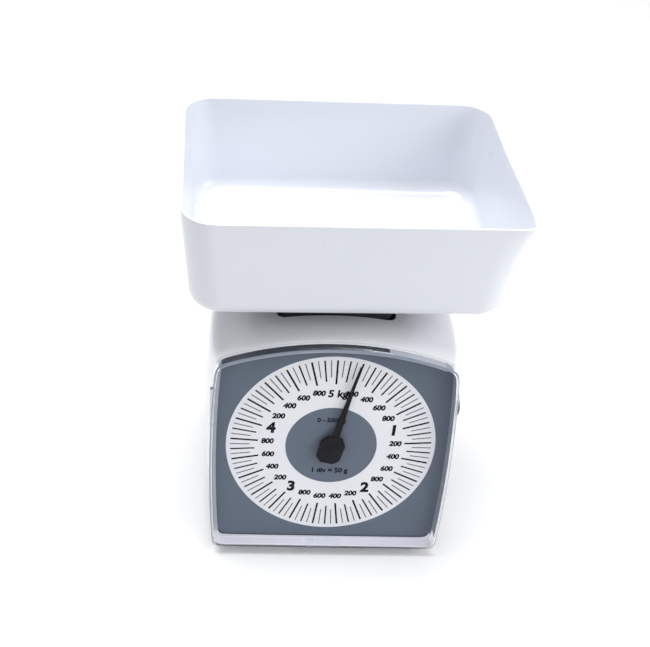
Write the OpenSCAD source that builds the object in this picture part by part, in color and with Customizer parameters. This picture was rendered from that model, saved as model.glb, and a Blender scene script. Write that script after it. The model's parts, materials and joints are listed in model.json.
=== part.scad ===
// Mechanical kitchen scale with a removable pouring bowl.
// The load presses a platform down. Two levers keep the platform level, the lower one stretches
// a spring, and its front end pulls a rack that turns the pointer's pinion behind the dial.
// A knob on the right side lifts the spring's upper bar through a snail cam, which sets zero.
// Units are millimetres, +Z is up and the dial faces -Y. The origin is on the table under the
// middle of the whole object.

/* [View] */
// Sub-part to draw

/* [Dial] */
// Radius of the printed graduation ring
dial_r = 70; // [60:1:80]
// Height of the dial's centre above the table
dial_h = 86; // [80:1:100]
// Lean of the dial face, in degrees back from upright
tilt = 8; // [4:0.5:14]
// Thickness of the printed dial card
card_t = 0.8; // [0.5:0.1:1.5]
// Angle of the pointer past the zero mark at rest, in degrees
rest_angle = 13; // [0:1:20]

/* [Housing] */
// Width of the front face across its middle
face_w = 161; // [150:1:180]
// Height of the arched top above the dial's centre, along the face
face_top = 80; // [76:1:90]
// Depth of the face below the dial's centre, along the face
face_bottom = 82; // [78:1:90]
// Wall thickness of the housing
wall = 2.2; // [1.6:0.1:3]
// Distance from the dial's centre back to the weighing axis
axis_depth = 84.5; // [76:0.5:95]
// Distance from the weighing axis to the back of the housing
back_depth = 76; // [66:1:84]
// Height of the rubber feet below the housing
foot_h = 4; // [3:0.5:6]

/* [Lens] */
// Depth of the clear lens in front of the dial card
lens_d = 10.5; // [9:0.5:14]
// Wall thickness of the lens
lens_t = 1.6; // [1.2:0.1:2.4]

/* [Movement] */
// Gear module of the rack and pinion
gear_m = 0.4; // [0.35:0.01:0.5]
// Number of teeth on the pinion
teeth = 12; // [10:1:14]
// Distance from the rear pivots to the column's pins
lever_l = 66.5; // [60:0.5:72]
// Distance of the rear pivots behind the weighing axis
pivot_y = 56; // [50:0.5:60]
// Radius of the lever pins
pin_r = 1.5; // [1.2:0.1:2]
// Mean radius of the spring's coil
coil_r = 5.4; // [4.5:0.1:6]
// Radius of the spring's wire
wire_r = 0.7; // [0.5:0.05:0.9]
// Lift of the zero cam on each side of its middle
cam_lift = 1; // [0.6:0.1:1.5]

/* [Platform] */
// Height of the platform's top above the table
platform_h = 186; // [182:1:194]
// Width of the platform
platform_w = 128; // [110:1:140]
// Depth of the platform
platform_l = 104; // [90:1:112]
// Width of the neck below the platform
neck_w = 76; // [60:1:84]
// Depth of the neck below the platform
neck_l = 68; // [50:1:72]

/* [Bowl] */
// Width of the bowl's rim without the spout
bowl_w = 212; // [190:1:236]
// Depth of the bowl's rim from front to back
bowl_l = 158; // [140:1:176]
// Height of the bowl
bowl_h = 72.5; // [60:0.5:90]
// Wall thickness of the bowl
bowl_t = 2; // [1.6:0.1:3]
// Radius of the bowl's corners seen from above
bowl_corner = 21; // [14:1:28]
// Radius of the bowl's lower edge
bowl_fillet = 11; // [6:1:16]
// Turn of the loose bowl on its platform, in degrees
bowl_turn = 2; // [0:0.5:2]

/* [Fits] */
// Radial running clearance of pins and arbors
run = 0.05; // [0.02:0.01:0.1]
// Clearance between fixed pieces
snug = 0.05; // [0.03:0.01:0.1]
// Gap around pieces that slide in openings
slide_gap = 1.5; // [1:0.1:2]
// Backlash across the gear teeth
backlash = 0.12; // [0.08:0.01:0.2]

/* [Hidden] */
$fn = 48;
eps = 0.01;

dial_y = -axis_depth;
face_d = -card_t;                 // front of the housing's face, behind the card
shoulder_d = face_d - 1.2;        // step that carries the lens
inner_d = face_d - wall;          // back of the housing's front wall
slot_d = 5.4;                     // back edge of the lens's finger slot
case_w = face_w + 0.6;
side_x = case_w / 2 + 2.5;        // side wall of the housing beside the knob
front_boss_x = case_w / 2 - 10.8;
rear_boss_x = case_w / 2 - 14.8;
base_z = foot_h;
plate_t = 2.5;
plate_z = base_z + plate_t;       // top of the base plate

pitch_r = gear_m * teeth / 2;
full_turn = 2 * PI * pitch_r;     // rack travel for one turn of the pointer
full_drop = full_turn * cos(tilt) / 2;
lever_tilt = asin(full_drop / 2 / lever_l);
beam_l = 2 * lever_l;
lower_z = 50;
upper_z = 130;
pin_y = pivot_y - lever_l * cos(lever_tilt);
pin_rise = lever_l * sin(lever_tilt);
rack_pin_y = pivot_y - beam_l * cos(lever_tilt);
rack_pin_z = lower_z + beam_l * sin(lever_tilt);
arm_x = 13;
arm_t = 1.6;
col_x = 9;
col_t = 1.6;
post_x = 18;
gear_mid_d = inner_d - 4.5;       // middle plane of the rack and pinion
rack_u = pitch_r + 0.04;

spring_y = -62;
knob_z = 104;
cam_r = 7;
bar_r = 2;
bar_z = knob_z + cam_r + 0.1 + bar_r;
loop_gap = 0.15;
coil_top = bar_z + bar_r + loop_gap + wire_r - coil_r;
hook_arm = (pivot_y - spring_y) / cos(lever_tilt);
hook_z = lower_z + hook_arm * sin(lever_tilt);
coil_bottom = hook_z - pin_r - loop_gap - wire_r + coil_r;
coil_turns = 11;
cam_x = 16;
spindle_r = 2;
spindle_in = 10;

neck_y = -5;
neck_t = 2;
neck_front = 4.5;
neck_bottom = 150;
web_z = 160;
seat_depth = 3;
bowl_z = platform_h - seat_depth;
bowl_x = 3;
bowl_y = 1.5;
seat_gap = 3.4;

// Middle of the whole object in plan, measured from the weighing axis
mid_x = 4.6;
mid_y = -12.2;

function arc_pts(c, r, a0, a1, n) = [for (i = [0:n]) let (a = a0 + (a1 - a0) * i / n)
  [c[0] + r * cos(a), c[1] + r * sin(a)]];
function arch_r(w) = w * 1.32;

// Working frame of the dial: x across, y up the face, z out of the face
module on_dial() {
  translate([0, dial_y, dial_h]) rotate([90 - tilt, 0, 0]) children();
}

// Outline of the front face: arched top, slightly barrelled sides, straight bottom
module face_shape(w, top, bottom, corner = 6) {
  r = arch_r(w);
  side_r = 940 * w / 161;
  half = asin((w / 2 - 2.5) / r);
  side = asin((top + bottom) / 2.2 / side_r);
  c = [w / 2 - side_r, -5];
  offset(r = corner) offset(delta = -corner) intersection() {
    polygon(concat(
      arc_pts([0, top - r], r, 90 + half * 1.2, 90 - half * 1.2, 24),
      [[w, -bottom], [-w, -bottom]]));
    polygon(concat(
      arc_pts(c, side_r, 2 * side, -2 * side, 20),
      arc_pts([-c[0], c[1]], side_r, 180 + 2 * side, 180 - 2 * side, 20)));
  }
}

// Plain upright section of the housing at a given depth
module case_slice(y, w, top, corner, g) {
  translate([0, y + eps, 0]) rotate([90, 0, 0]) linear_extrude(eps)
    offset(delta = -g) translate([0, dial_h])
      face_shape(w, top - dial_h, dial_h - base_z + corner, corner);
}

// Outer form of the housing, or its hollow when g is the wall thickness
module case_body(g = 0) {
  difference() {
    case_hull(g);
    translate([-150, -150, -50]) cube([300, 300, 50 + base_z]);
  }
}

module case_hull(g) {
  hull() {
    on_dial() translate([0, 0, g > 0 ? inner_d - eps : shoulder_d - eps]) linear_extrude(eps)
      offset(delta = -g) face_shape(case_w, face_top, face_bottom, 6);
    case_slice(-62, case_w + 5, dial_h + 79, 8, g);
    case_slice(10, case_w + 5.4, dial_h + 78, 10, g);
    case_slice(back_depth - 12 - g, case_w - 2, dial_h + 75, 14, g);
    case_slice(back_depth - eps - g, case_w - 18, dial_h + 66, 18, g);
  }
}

module boss_at() {
  for (sx = [-1, 1]) {
    translate([sx * front_boss_x, -66, 0]) children();
    translate([sx * rear_boss_x, 52, 0]) children();
  }
}

module housing() {
  color("white") difference() {
    union() {
      difference() {
        case_body();
        difference() {
          case_body(wall);
          // side walls of the boss webs stay solid
          for (sx = [-1, 1], y = [-66, 52])
            translate([sx * (case_w / 2 - 2.8) - 10, y - 1, plate_z + snug]) cube([20, 2, 36]);
          // ribs that guide the spring bar
          for (sx = [-1, 1]) translate([sx * 23 - 1.5, dial_y - 7.5, knob_z + 4])
            cube([3, spring_y + 10 - dial_y + 7.5, 15]);
        }
      }
      // raised face inside the lens
      on_dial() translate([0, 0, shoulder_d - eps]) linear_extrude(face_d - shoulder_d + eps)
        offset(delta = -lens_t - 0.3) face_shape(face_w, face_top, face_bottom - 0.5, 6);
      // screw bosses
      boss_at() translate([0, 0, plate_z]) cylinder(r = 4.5, h = 30);
      // collar around the neck opening
      translate([-neck_w / 2 - slide_gap - 1.8, neck_y - neck_l / 2 - slide_gap - 1.8 - neck_front, 152])
        cube([neck_w + 2 * slide_gap + 3.6, neck_l + 2 * slide_gap + 3.6 + neck_front, dial_h + 76 - 152]);
    }
    // opening for the neck, longer in front of it
    translate([0, neck_y - neck_front / 2, 120]) linear_extrude(60) offset(r = 6)
      square([neck_w + 2 * slide_gap - 12, neck_l + 2 * slide_gap - 12 + neck_front], center = true);
    boss_at() translate([0, 0, plate_z - 1]) cylinder(r = 1.45, h = 16);
    // guide slots for the spring bar
    for (sx = [-1, 1]) translate([sx * 23 - 2, spring_y - bar_r - 0.1, bar_z - bar_r - cam_lift - 0.2])
      cube([4, 2 * bar_r + 0.2, 2 * bar_r + 2 * cam_lift + 0.4]);
    // bore for the arbor's bush
    on_dial() translate([0, 0, inner_d - 1]) cylinder(r = 3 + snug, h = 6);
    // bore for the spindle's bush
    translate([side_x - 13.3, spring_y, knob_z]) rotate([0, 90, 0]) cylinder(r = 3.5 + snug, h = 20);
    // screw holes of the two brackets and the roller's pin
    on_dial() {
      for (u = [-17.5, 21.5]) translate([u, 0, inner_d - 1]) cylinder(r = 1.25 + snug, h = 2.8);
      for (v = [14, 24]) translate([16.5, v, inner_d - 1]) cylinder(r = 1.25 + snug, h = 2.8);
      translate([roller_u, 0, inner_d - 1]) cylinder(r = 1 + snug, h = 2.2);
    }
  }
}

module foot_at() {
  for (sx = [-1, 1]) {
    translate([sx * (front_boss_x - 10), -72, 0]) children();
    translate([sx * (rear_boss_x - 10), 58, 0]) children();
  }
}

frame_holes = [[-12, 30], [12, 30], [-12, 66], [12, 66]];

module base_plate() {
  color("lightgray") difference() {
    union() {
      intersection() {
        case_body(wall + snug);
        translate([-100, -110, base_z]) cube([200, 200, plate_t]);
      }
      translate([0, pin_y, plate_z - eps]) cylinder(r = 5, h = 6);
      for (p = frame_holes) translate([p[0], p[1], plate_z - 0.5]) cylinder(r = 3.4, h = 0.5);
    }
    boss_at() {
      translate([0, 0, base_z - 1]) cylinder(r = 1.8, h = plate_t + 2);
      translate([0, 0, base_z - 1]) cylinder(r = 3.4, h = 2.2);
    }
    foot_at() translate([0, 0, base_z - 1]) cylinder(r = 3 + snug, h = plate_t + 2);
    for (p = frame_holes) translate([p[0], p[1], base_z - 1]) cylinder(r = 1.25 + snug, h = plate_t + 2);
    translate([0, pin_y, base_z - 1]) cylinder(r = 1.5 + snug, h = plate_t + 9);
  }
}

module rubber_feet() {
  color("dimgray") foot_at() {
    cylinder(r1 = 7.2, r2 = 8, h = foot_h);
    translate([0, 0, foot_h - eps]) cylinder(r = 3, h = plate_t + eps);
    translate([0, 0, plate_z - eps]) cylinder(r1 = 3.8, r2 = 2.6, h = 1.6);
  }
}

module base_screws() {
  color("silver") boss_at() difference() {
    union() {
      translate([0, 0, base_z + 0.2]) cylinder(r = 3, h = 1.0 - snug);
      translate([0, 0, base_z + 0.2]) cylinder(r = 1.4, h = 14);
    }
    for (a = [0, 90]) rotate(a) translate([-2, -0.35, base_z - 0.2]) cube([4, 0.7, 0.9]);
  }
}

module dial_card() {
  color("slategray") on_dial() difference() {
    translate([0, 0, face_d + eps]) linear_extrude(card_t - eps)
      offset(delta = -lens_t - 0.7) face_shape(face_w, face_top, face_bottom - 0.5, 6);
    translate([0, 0, face_d - 1]) cylinder(r = 3.6, h = card_t + 2);
  }
}

module lens() {
  back = shoulder_d + snug;
  color("azure", 0.4) on_dial() {
    difference() {
      translate([0, 0, back]) linear_extrude(lens_d - back)
        face_shape(face_w, face_top, face_bottom - 0.5, 6);
      translate([0, 0, back - 1]) linear_extrude(lens_d - lens_t - back + 1)
        offset(delta = -lens_t) face_shape(face_w, face_top, face_bottom - 0.5, 6);
      // stepped finger slot in the top wall
      translate([-26, face_top - 12, slot_d]) cube([46, 20, 2.8]);
      translate([-26, face_top - 12, slot_d + 1]) cube([60, 20, 1.8]);
    }
    // clips on both sides and a tab on the bottom wall
    for (sx = [-1, 1]) translate([sx * (face_w / 2 - 0.7) - 0.9, 17, 0.8]) cube([1.8, 28, 3.4]);
    translate([-13, -face_bottom + 0.5 + lens_t / 2, 0.5]) cube([24, lens_t, lens_d - lens_t - 0.4]);
  }
}

module arbor_bush() {
  color("gold") on_dial() difference() {
    union() {
      translate([0, 0, inner_d - 0.6]) cylinder(r = 3, h = -inner_d + 0.9);
      translate([0, 0, inner_d - 0.8]) cylinder(r = 4.4, h = 0.8 - snug);
    }
    translate([0, 0, inner_d - 2]) cylinder(r = 1.2 + run, h = 8);
  }
}

roller_r = 2.5;
roller_u = rack_u + 3.6 + 0.12 + roller_r;
back_plate_d = inner_d - 10.5;

module movement_bracket() {
  lo = -13.5;
  hi = 17.5;
  color("silver") on_dial() difference() {
    union() {
      translate([lo, -9, back_plate_d]) cube([hi - lo, 18, 1.5]);
      for (u = [lo, hi - 1.5]) translate([u, -7, back_plate_d]) cube([1.5, 14, 10.5 - snug]);
      translate([lo - 8, -7, inner_d - 1.5 - snug]) cube([9, 14, 1.5]);
      translate([hi - 1, -7, inner_d - 1.5 - snug]) cube([9, 14, 1.5]);
    }
    translate([0, 0, back_plate_d - 1]) cylinder(r = 1.2 + run, h = 4);
    translate([roller_u, 0, back_plate_d - 1]) cylinder(r = 1 + snug, h = 4);
    for (u = [-17.5, 21.5]) translate([u, 0, inner_d - 3]) cylinder(r = 1.25 + snug, h = 4);
  }
}

module small_screw(len) {
  difference() {
    union() {
      translate([0, 0, -1.2]) cylinder(r = 2.4, h = 1.2);
      translate([0, 0, -eps]) cylinder(r = 1.25, h = len);
    }
    translate([-1.6, -0.3, -1.7]) cube([3.2, 0.6, 1.1]);
  }
}

module movement_screws() {
  color("silver") on_dial() for (u = [-17.5, 21.5])
    translate([u, 0, inner_d - 1.5 - 2 * snug]) small_screw(3.1);
}

module bracket_screws() {
  color("silver") on_dial() for (v = [14, 24])
    translate([16.5, v, inner_d - 1.5 - 2 * snug]) small_screw(3.1);
}

module roller_pin() {
  color("silver") on_dial() translate([roller_u, 0, back_plate_d - 0.3])
    cylinder(r = 1, h = 10.5 + 0.3 + 1);
}

module guide_roller() {
  color("ivory") on_dial() translate([roller_u, 0, gear_mid_d - 1.3]) difference() {
    cylinder(r = roller_r, h = 2.6);
    translate([0, 0, -1]) cylinder(r = 1 + run, h = 5);
    for (a = [45:90:315]) rotate(a) translate([1.75, 0, 2.1]) cylinder(r = 0.3, h = 1, $fn = 16);
  }
}

// Involute outline of the pinion; the base circle follows from a 20 degree pressure angle
function inv_pt(rb, a) = [rb * (cos(a) + a * PI / 180 * sin(a)), rb * (sin(a) - a * PI / 180 * cos(a))];
function inv_a(rb, r) = r <= rb ? 0 : sqrt(pow(r / rb, 2) - 1) * 180 / PI;

module pinion_shape() {
  rb = pitch_r * cos(20);
  ra = pitch_r + 0.9 * gear_m;
  root = pitch_r - 1.05 * gear_m;
  at = inv_a(rb, pitch_r);
  ap = atan2(inv_pt(rb, at)[1], inv_pt(rb, at)[0]);
  half = 90 / teeth - backlash / pitch_r * 45 / PI;
  flank = [for (i = [0:5]) let (p = inv_pt(rb, inv_a(rb, ra) * i / 5))
    [norm(p), atan2(p[1], p[0]) - ap - half]];
  union() {
    circle(r = root, $fn = 48);
    for (k = [0:teeth - 1]) rotate(k * 360 / teeth) polygon(concat(
      [[0, 0], [root * 0.9 * cos(flank[0][1]), root * 0.9 * sin(flank[0][1])]],
      [for (f = flank) [f[0] * cos(f[1]), f[0] * sin(f[1])]],
      [for (i = [5:-1:0]) [flank[i][0] * cos(-flank[i][1]), flank[i][0] * sin(-flank[i][1])]],
      [[root * 0.9 * cos(-flank[0][1]), root * 0.9 * sin(-flank[0][1])]]));
  }
}

module pinion_arbor() {
  color("gold") on_dial() union() {
    translate([0, 0, gear_mid_d - 1.5]) linear_extrude(3) pinion_shape();
    translate([0, 0, back_plate_d - 0.8]) cylinder(r = 1.2, h = -back_plate_d + 0.8 + 5.6);
  }
}

module pointer() {
  color([0.1, 0.1, 0.1]) on_dial() rotate(-rest_angle) difference() {
    union() {
      // needle, wider towards the hub
      translate([0, 0, 2.4]) linear_extrude(1.0)
        polygon([[-2.1, 6], [-0.45, 65.4], [0, 66], [0.45, 65.4], [2.1, 6]]);
      // hub and counterweight tail
      translate([0, 0, 1.6]) linear_extrude(2.8) offset(r = 2.5) offset(delta = -2.5)
        polygon([[-5, 9], [5, 9], [8.6, 3], [8, -9], [4, -12], [-4, -12], [-8, -9], [-8.6, 3]]);
      translate([0, 0, 4.4 - eps]) cylinder(r1 = 5, r2 = 4.2, h = 1.4);
    }
    translate([0, 0, 0]) cylinder(r = 1.2 + 0.02, h = 5.65);
  }
}

rack_low = -31;
rack_high = round(full_turn) + 6;

module rack() {
  p = PI * gear_m;
  add = 0.75 * gear_m;
  ded = 1.2 * gear_m;
  tan20 = tan(20);
  half = p / 4 - backlash / 4;
  foot_y = min(rack_pin_y - 5.5, dial_y - (dial_h - rack_pin_z) * tan(tilt) + 6);
  n_low = -5;
  n_high = floor((rack_high - 1) / p - 0.5);
  color("gold") difference() {
    union() {
      on_dial() translate([0, 0, gear_mid_d - 1.2]) linear_extrude(2.4) union() {
        translate([rack_u + ded, rack_low]) square([3.6 - ded, rack_high - rack_low]);
        for (k = [n_low:n_high]) translate([rack_u, (k + 0.5) * p]) polygon([
          [-add, -half + add * tan20], [-add, half - add * tan20],
          [ded + eps, half + ded * tan20], [ded + eps, -half - ded * tan20]]);
      }
      // foot that reaches from the rack to the lever's pin
      translate([rack_u + ded, foot_y, rack_pin_z - 4]) cube([3.6 - ded, rack_pin_y + 5.5 - foot_y, 8]);
    }
    // slot along the depth, where the pin shifts as the lever swings
    for (y = [-0.7, 2.6]) translate([0, rack_pin_y + y, rack_pin_z]) rotate([0, 90, 0])
      cylinder(r = pin_r + run, h = 12);
    translate([0, rack_pin_y - 0.7, rack_pin_z - pin_r - run]) cube([12, 3.3, 2 * pin_r + 2 * run]);
  }
}

// Working frame of a lever: pivot at the rear, y runs forward along the lever
module on_lever(z) {
  translate([0, pivot_y, z]) rotate([-lever_tilt, 0, 0]) mirror([0, 1, 0]) children();
}

module lever_eye(y, r, h = 1) {
  for (sx = [-1, 1]) translate([sx * arm_x - arm_t / 2, y, 0]) rotate([0, 90, 0])
    cylinder(r = r, h = arm_t * h);
}

module lever_slot(l) {
  for (dy = [-0.8, 0.8]) translate([-20, l + dy, 0]) rotate([0, 90, 0]) cylinder(r = pin_r + run, h = 40);
  translate([-20, l - 0.8, -pin_r - run]) cube([40, 1.6, 2 * pin_r + 2 * run]);
}

module upper_lever() {
  color("silver") on_lever(upper_z) difference() {
    union() {
      for (sx = [-1, 1]) translate([sx * arm_x - arm_t / 2, 0, -3]) cube([arm_t, lever_l, 6]);
      lever_eye(0, 4);
      lever_eye(lever_l, 4);
      translate([-arm_x, 12, 1.8]) cube([2 * arm_x, 34, 1.2]);
    }
    translate([-20, 0, 0]) rotate([0, 90, 0]) cylinder(r = pin_r + run, h = 40);
    lever_slot(lever_l);
    translate([0, 29, -1]) cylinder(r = 8, h = 6);
  }
}

module lower_lever() {
  color("silver") on_lever(lower_z) difference() {
    union() {
      for (sx = [-1, 1]) translate([sx * arm_x - arm_t / 2, 0, -3]) cube([arm_t, beam_l, 6]);
      lever_eye(0, 4);
      lever_eye(lever_l, 4);
      lever_eye(beam_l, 4);
      translate([-arm_x, 12, -3]) cube([2 * arm_x, 34, 1.2]);
      translate([-arm_x, 84, -3]) cube([2 * arm_x, 16, 1.2]);
      // bar that holds the spring
      translate([-arm_x, hook_arm, 0]) rotate([0, 90, 0]) cylinder(r = pin_r, h = 2 * arm_x);
    }
    translate([-20, 0, 0]) rotate([0, 90, 0]) cylinder(r = pin_r + run, h = 40);
    lever_slot(lever_l);
    translate([-20, beam_l, 0]) rotate([0, 90, 0]) cylinder(r = pin_r + 0.02, h = 40);
    translate([0, 29, -5]) cylinder(r = 8, h = 6);
  }
}

module rack_pin() {
  color("silver") translate([-arm_x - 2, rack_pin_y, rack_pin_z]) rotate([0, 90, 0])
    cylinder(r = pin_r, h = 2 * arm_x + 4);
}

module rear_frame() {
  top = upper_z + 7;
  color("silver") difference() {
    union() {
      translate([-post_x - 0.8, 26, plate_z + snug]) cube([2 * post_x + 1.6, 44, 1.5]);
      for (sx = [-1, 1]) translate([sx * post_x - 0.8, pivot_y - 10, plate_z + snug]) cube([1.6, 20, top - plate_z]);
      for (sx = [-1, 1]) translate([sx * post_x - 0.8, 26, plate_z + snug]) cube([1.6, 44, 14]);
      translate([-post_x, pivot_y + 8.4, 74]) cube([2 * post_x, 1.6, 40]);
    }
    for (z = [lower_z, upper_z]) translate([-30, pivot_y, z]) rotate([0, 90, 0]) cylinder(r = pin_r + 0.02, h = 60);
    for (p = frame_holes) translate([p[0], p[1], plate_z - 1]) cylinder(r = 1.25 + snug, h = 4);
  }
}

module frame_screws() {
  color("silver") for (p = frame_holes) translate([p[0], p[1], plate_z + 1.5 + 2 * snug]) mirror([0, 0, 1])
    small_screw(4);
}

module pivot_pins() {
  color("silver") for (z = [lower_z, upper_z]) translate([-post_x - 2, pivot_y, z]) rotate([0, 90, 0])
    cylinder(r = pin_r, h = 2 * post_x + 4);
}

module column() {
  color("silver") difference() {
    union() {
      for (sx = [-1, 1]) translate([sx * col_x - col_t / 2, pin_y - 7, 45]) cube([col_t, 22, web_z - 45 - snug]);
      translate([-22, pin_y - 7, web_z - 1.6 - snug]) cube([44, 22, 1.6]);
      translate([-col_x, pin_y + 13.4, 60]) cube([2 * col_x, 1.6, 60]);
    }
    for (z = [lower_z, upper_z]) translate([-20, pin_y, z + pin_rise]) rotate([0, 90, 0])
      cylinder(r = pin_r + 0.02, h = 40);
    for (x = [-17, 17], y = [-2, 10]) translate([x, pin_y + y, web_z - 3]) cylinder(r = 1.25 + snug, h = 6);
  }
}

module column_pins() {
  color("silver") for (z = [lower_z, upper_z]) translate([-arm_x - 2, pin_y, z + pin_rise]) rotate([0, 90, 0])
    cylinder(r = pin_r, h = 2 * arm_x + 4);
}

module column_screws() {
  color("silver") for (x = [-17, 17], y = [-2, 10])
    translate([x, pin_y + y, web_z - 1.6 - 2 * snug]) small_screw(4);
}

module rounded(w, l, r, h) {
  linear_extrude(h) offset(r = r) square([w - 2 * r, l - 2 * r], center = true);
}

module platform() {
  color([0.3, 0.32, 0.35]) difference() {
    union() {
      difference() {
        translate([0, 0, platform_h - 8]) rounded(platform_w, platform_l, 14, 8);
        difference() {
          translate([0, 0, platform_h - 9]) rounded(platform_w - 4.4, platform_l - 4.4, 12, 6.6);
          translate([0, neck_y, platform_h - 10]) rounded(neck_w, neck_l, 6, 10);
          for (a = [0:3]) rotate(a * 45) translate([-90, -0.8, platform_h - 7]) cube([180, 1.6, 8]);
        }
      }
      translate([0, neck_y, neck_bottom]) rounded(neck_w, neck_l, 6, platform_h - 2 - neck_bottom);
    }
    translate([0, neck_y, neck_bottom - 1]) rounded(neck_w - 2 * neck_t, neck_l - 2 * neck_t, 4, web_z - neck_bottom + 1);
    translate([0, neck_y, web_z + 3]) rounded(neck_w - 2 * neck_t, neck_l - 2 * neck_t, 4, platform_h - 2.4 - web_z - 3);
    for (x = [-17, 17], y = [-2, 10]) translate([x, pin_y + y, web_z - 1]) cylinder(r = 1.25 + snug, h = 5);
  }
}

// Corner positions of the bowl at a given inset
module bowl_corners(g, rc) {
  for (sx = [-1, 1], sy = [-1, 1])
    translate([sx * (bowl_w / 2 - g - rc), sy * (bowl_l / 2 - g - rc), 0]) children();
}

draft = 5;

module bowl_shell(g, floor_z, top) {
  f = bowl_fillet - g / 2;
  rc = bowl_corner - g;
  hull() {
    translate([0, 0, floor_z + f]) bowl_corners(g + draft, rc)
      rotate_extrude($fn = 32) intersection() {
        translate([rc - f, 0]) circle(r = f, $fn = 24);
        translate([0, -f]) square([rc, 2 * f]);
      }
    translate([0, 0, top - eps]) bowl_corners(g, rc) cylinder(r = rc, h = eps, $fn = 32);
  }
}

module spout_shell(g, top) {
  rc = bowl_corner - g;
  cx = bowl_w / 2 - g - rc;
  cy = -bowl_l / 2 + g + rc;
  low = bowl_h * 0.08;
  mid = bowl_h * 0.62;
  k = draft * (1 - mid / bowl_h);
  tip = [bowl_w / 2 + 2 - g * 1.1, -bowl_l / 2 + 9];
  hull() {
    translate([cx - draft, cy + draft, low + bowl_fillet]) cylinder(r = rc, h = eps, $fn = 32);
    translate([cx - k, cy + k, mid]) cylinder(r = rc, h = eps, $fn = 32);
    translate([bowl_w / 2 - g - 6 - k, -bowl_l / 2 + g + 6 + k, mid]) cylinder(r = 3, h = eps, $fn = 24);
  }
  hull() {
    translate([cx - k, cy + k, mid - eps]) cylinder(r = rc, h = eps, $fn = 32);
    translate([bowl_w / 2 - g - 6 - k, -bowl_l / 2 + g + 6 + k, mid - eps]) cylinder(r = 3, h = eps, $fn = 24);
    translate([cx, cy, top - eps]) cylinder(r = rc, h = eps, $fn = 32);
    translate([bowl_w / 2 - g - 1.6, -bowl_l / 2 + g + 1.6, top - eps]) cylinder(r = 1.6, h = eps, $fn = 24);
    translate([tip[0] - 1.6, tip[1], top - eps]) cylinder(r = 1.6, h = eps, $fn = 24);
  }
}

module on_bowl() {
  translate([bowl_x, bowl_y, bowl_z]) rotate(bowl_turn) children();
}

module bowl() {
  color("white") difference() {
    on_bowl() difference() {
      union() {
        bowl_shell(0, 0, bowl_h);
        spout_shell(0, bowl_h);
      }
      bowl_shell(bowl_t, seat_depth + bowl_t + 0.4, bowl_h + 2 * eps);
      spout_shell(bowl_t, bowl_h + 2 * eps);
    }
    // seat that drops over the platform
    translate([0, 0, bowl_z - 1]) rounded(platform_w + 2 * seat_gap, platform_l + 2 * seat_gap, 16, seat_depth + 1);
  }
}

function unit(v) = v / norm(v);

// Centre line of the spring: lower half loop, coil, upper half loop
function spring_path() = let (r = coil_r, steps = coil_turns * 14, rise = (coil_top - coil_bottom) / steps)
  concat(
    [for (i = [10:-1:1]) let (a = i * 18) [0, r * cos(a), coil_bottom - r * sin(a)]],
    [for (i = [0:steps]) let (a = 90 + i * 360 / 14) [r * cos(a), r * sin(a), coil_bottom + rise * i]],
    [for (i = [1:10]) let (a = i * 18) [0, r * cos(a), coil_top + r * sin(a)]]);

// Round wire along a path, as one closed skin with eight sides
module wire(path, r) {
  n = len(path);
  k = 8;
  tan_at = [for (i = [0:n - 1]) unit(path[min(i + 1, n - 1)] - path[max(i - 1, 0)])];
  side = [for (i = 0, f = [1, 0, 0]; i < n;
    i = i + 1, f = unit(f - (f * tan_at[min(i, n - 1)]) * tan_at[min(i, n - 1)])) f];
  polyhedron(
    points = [for (i = [0:n - 1]) let (u = side[i], v = cross(tan_at[i], u))
      for (j = [0:k - 1]) path[i] + r * (cos(j * 360 / k) * u + sin(j * 360 / k) * v)],
    faces = concat(
      [[for (j = [0:k - 1]) j]],
      [for (i = [0:n - 2], j = [0:k - 1]) let (a = i * k + j, b = i * k + (j + 1) % k) [a, a + k, b + k, b]],
      [[for (j = [k - 1:-1:0]) (n - 1) * k + j]]));
}

module main_spring() {
  color("silver") translate([0, spring_y, 0]) wire(spring_path(), wire_r);
}

module spring_bar() {
  color("silver") translate([-25.5, spring_y, bar_z]) rotate([0, 90, 0]) cylinder(r = bar_r, h = 51);
}

// Snail whose radius grows evenly with angle, highest point under the bar at mid travel
module zero_cam() {
  n = 60;
  color("ivory") translate([cam_x, spring_y, knob_z]) rotate([90, 0, 90]) linear_extrude(4) difference() {
    polygon([for (i = [0:n]) let (a = -150 + 300 * i / n, r = cam_r + cam_lift * a / 120) [r * cos(a + 90), r * sin(a + 90)]]);
    circle(r = spindle_r + 0.02);
  }
}

module zero_spindle() {
  color("silver") translate([spindle_in - 0.5, spring_y, knob_z]) rotate([0, 90, 0])
    cylinder(r = spindle_r, h = side_x + 1.3 - spindle_in + 0.5);
}

module zero_knob() {
  color("dimgray") translate([0, spring_y, knob_z]) rotate([0, 90, 0]) difference() {
    union() {
      translate([0, 0, side_x + 0.6]) cylinder(r = 6.2, h = 2);
      translate([0, 0, side_x + 2.6 - eps]) cylinder(r1 = 6.2, r2 = 5.7, h = 0.5);
    }
    translate([0, 0, side_x + 0.3]) cylinder(r = spindle_r + 0.02, h = 1.05);
    for (a = [0:30:330]) rotate(a) translate([6.5, 0, side_x + 0.3]) cylinder(r = 0.7, h = 4, $fn = 16);
    translate([-4, -0.5, side_x + 2.5]) cube([8, 1, 1.4]);
  }
}

module spindle_bush() {
  color("ivory") translate([0, spring_y, knob_z]) rotate([0, 90, 0]) difference() {
    union() {
      translate([0, 0, side_x - 3.9]) cylinder(r = 3.5, h = 4.4);
      translate([0, 0, side_x - 5.1]) cylinder(r = 5, h = 1.4);
    }
    translate([0, 0, side_x - 13.3]) cylinder(r = spindle_r + run, h = 20);
  }
}

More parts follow.
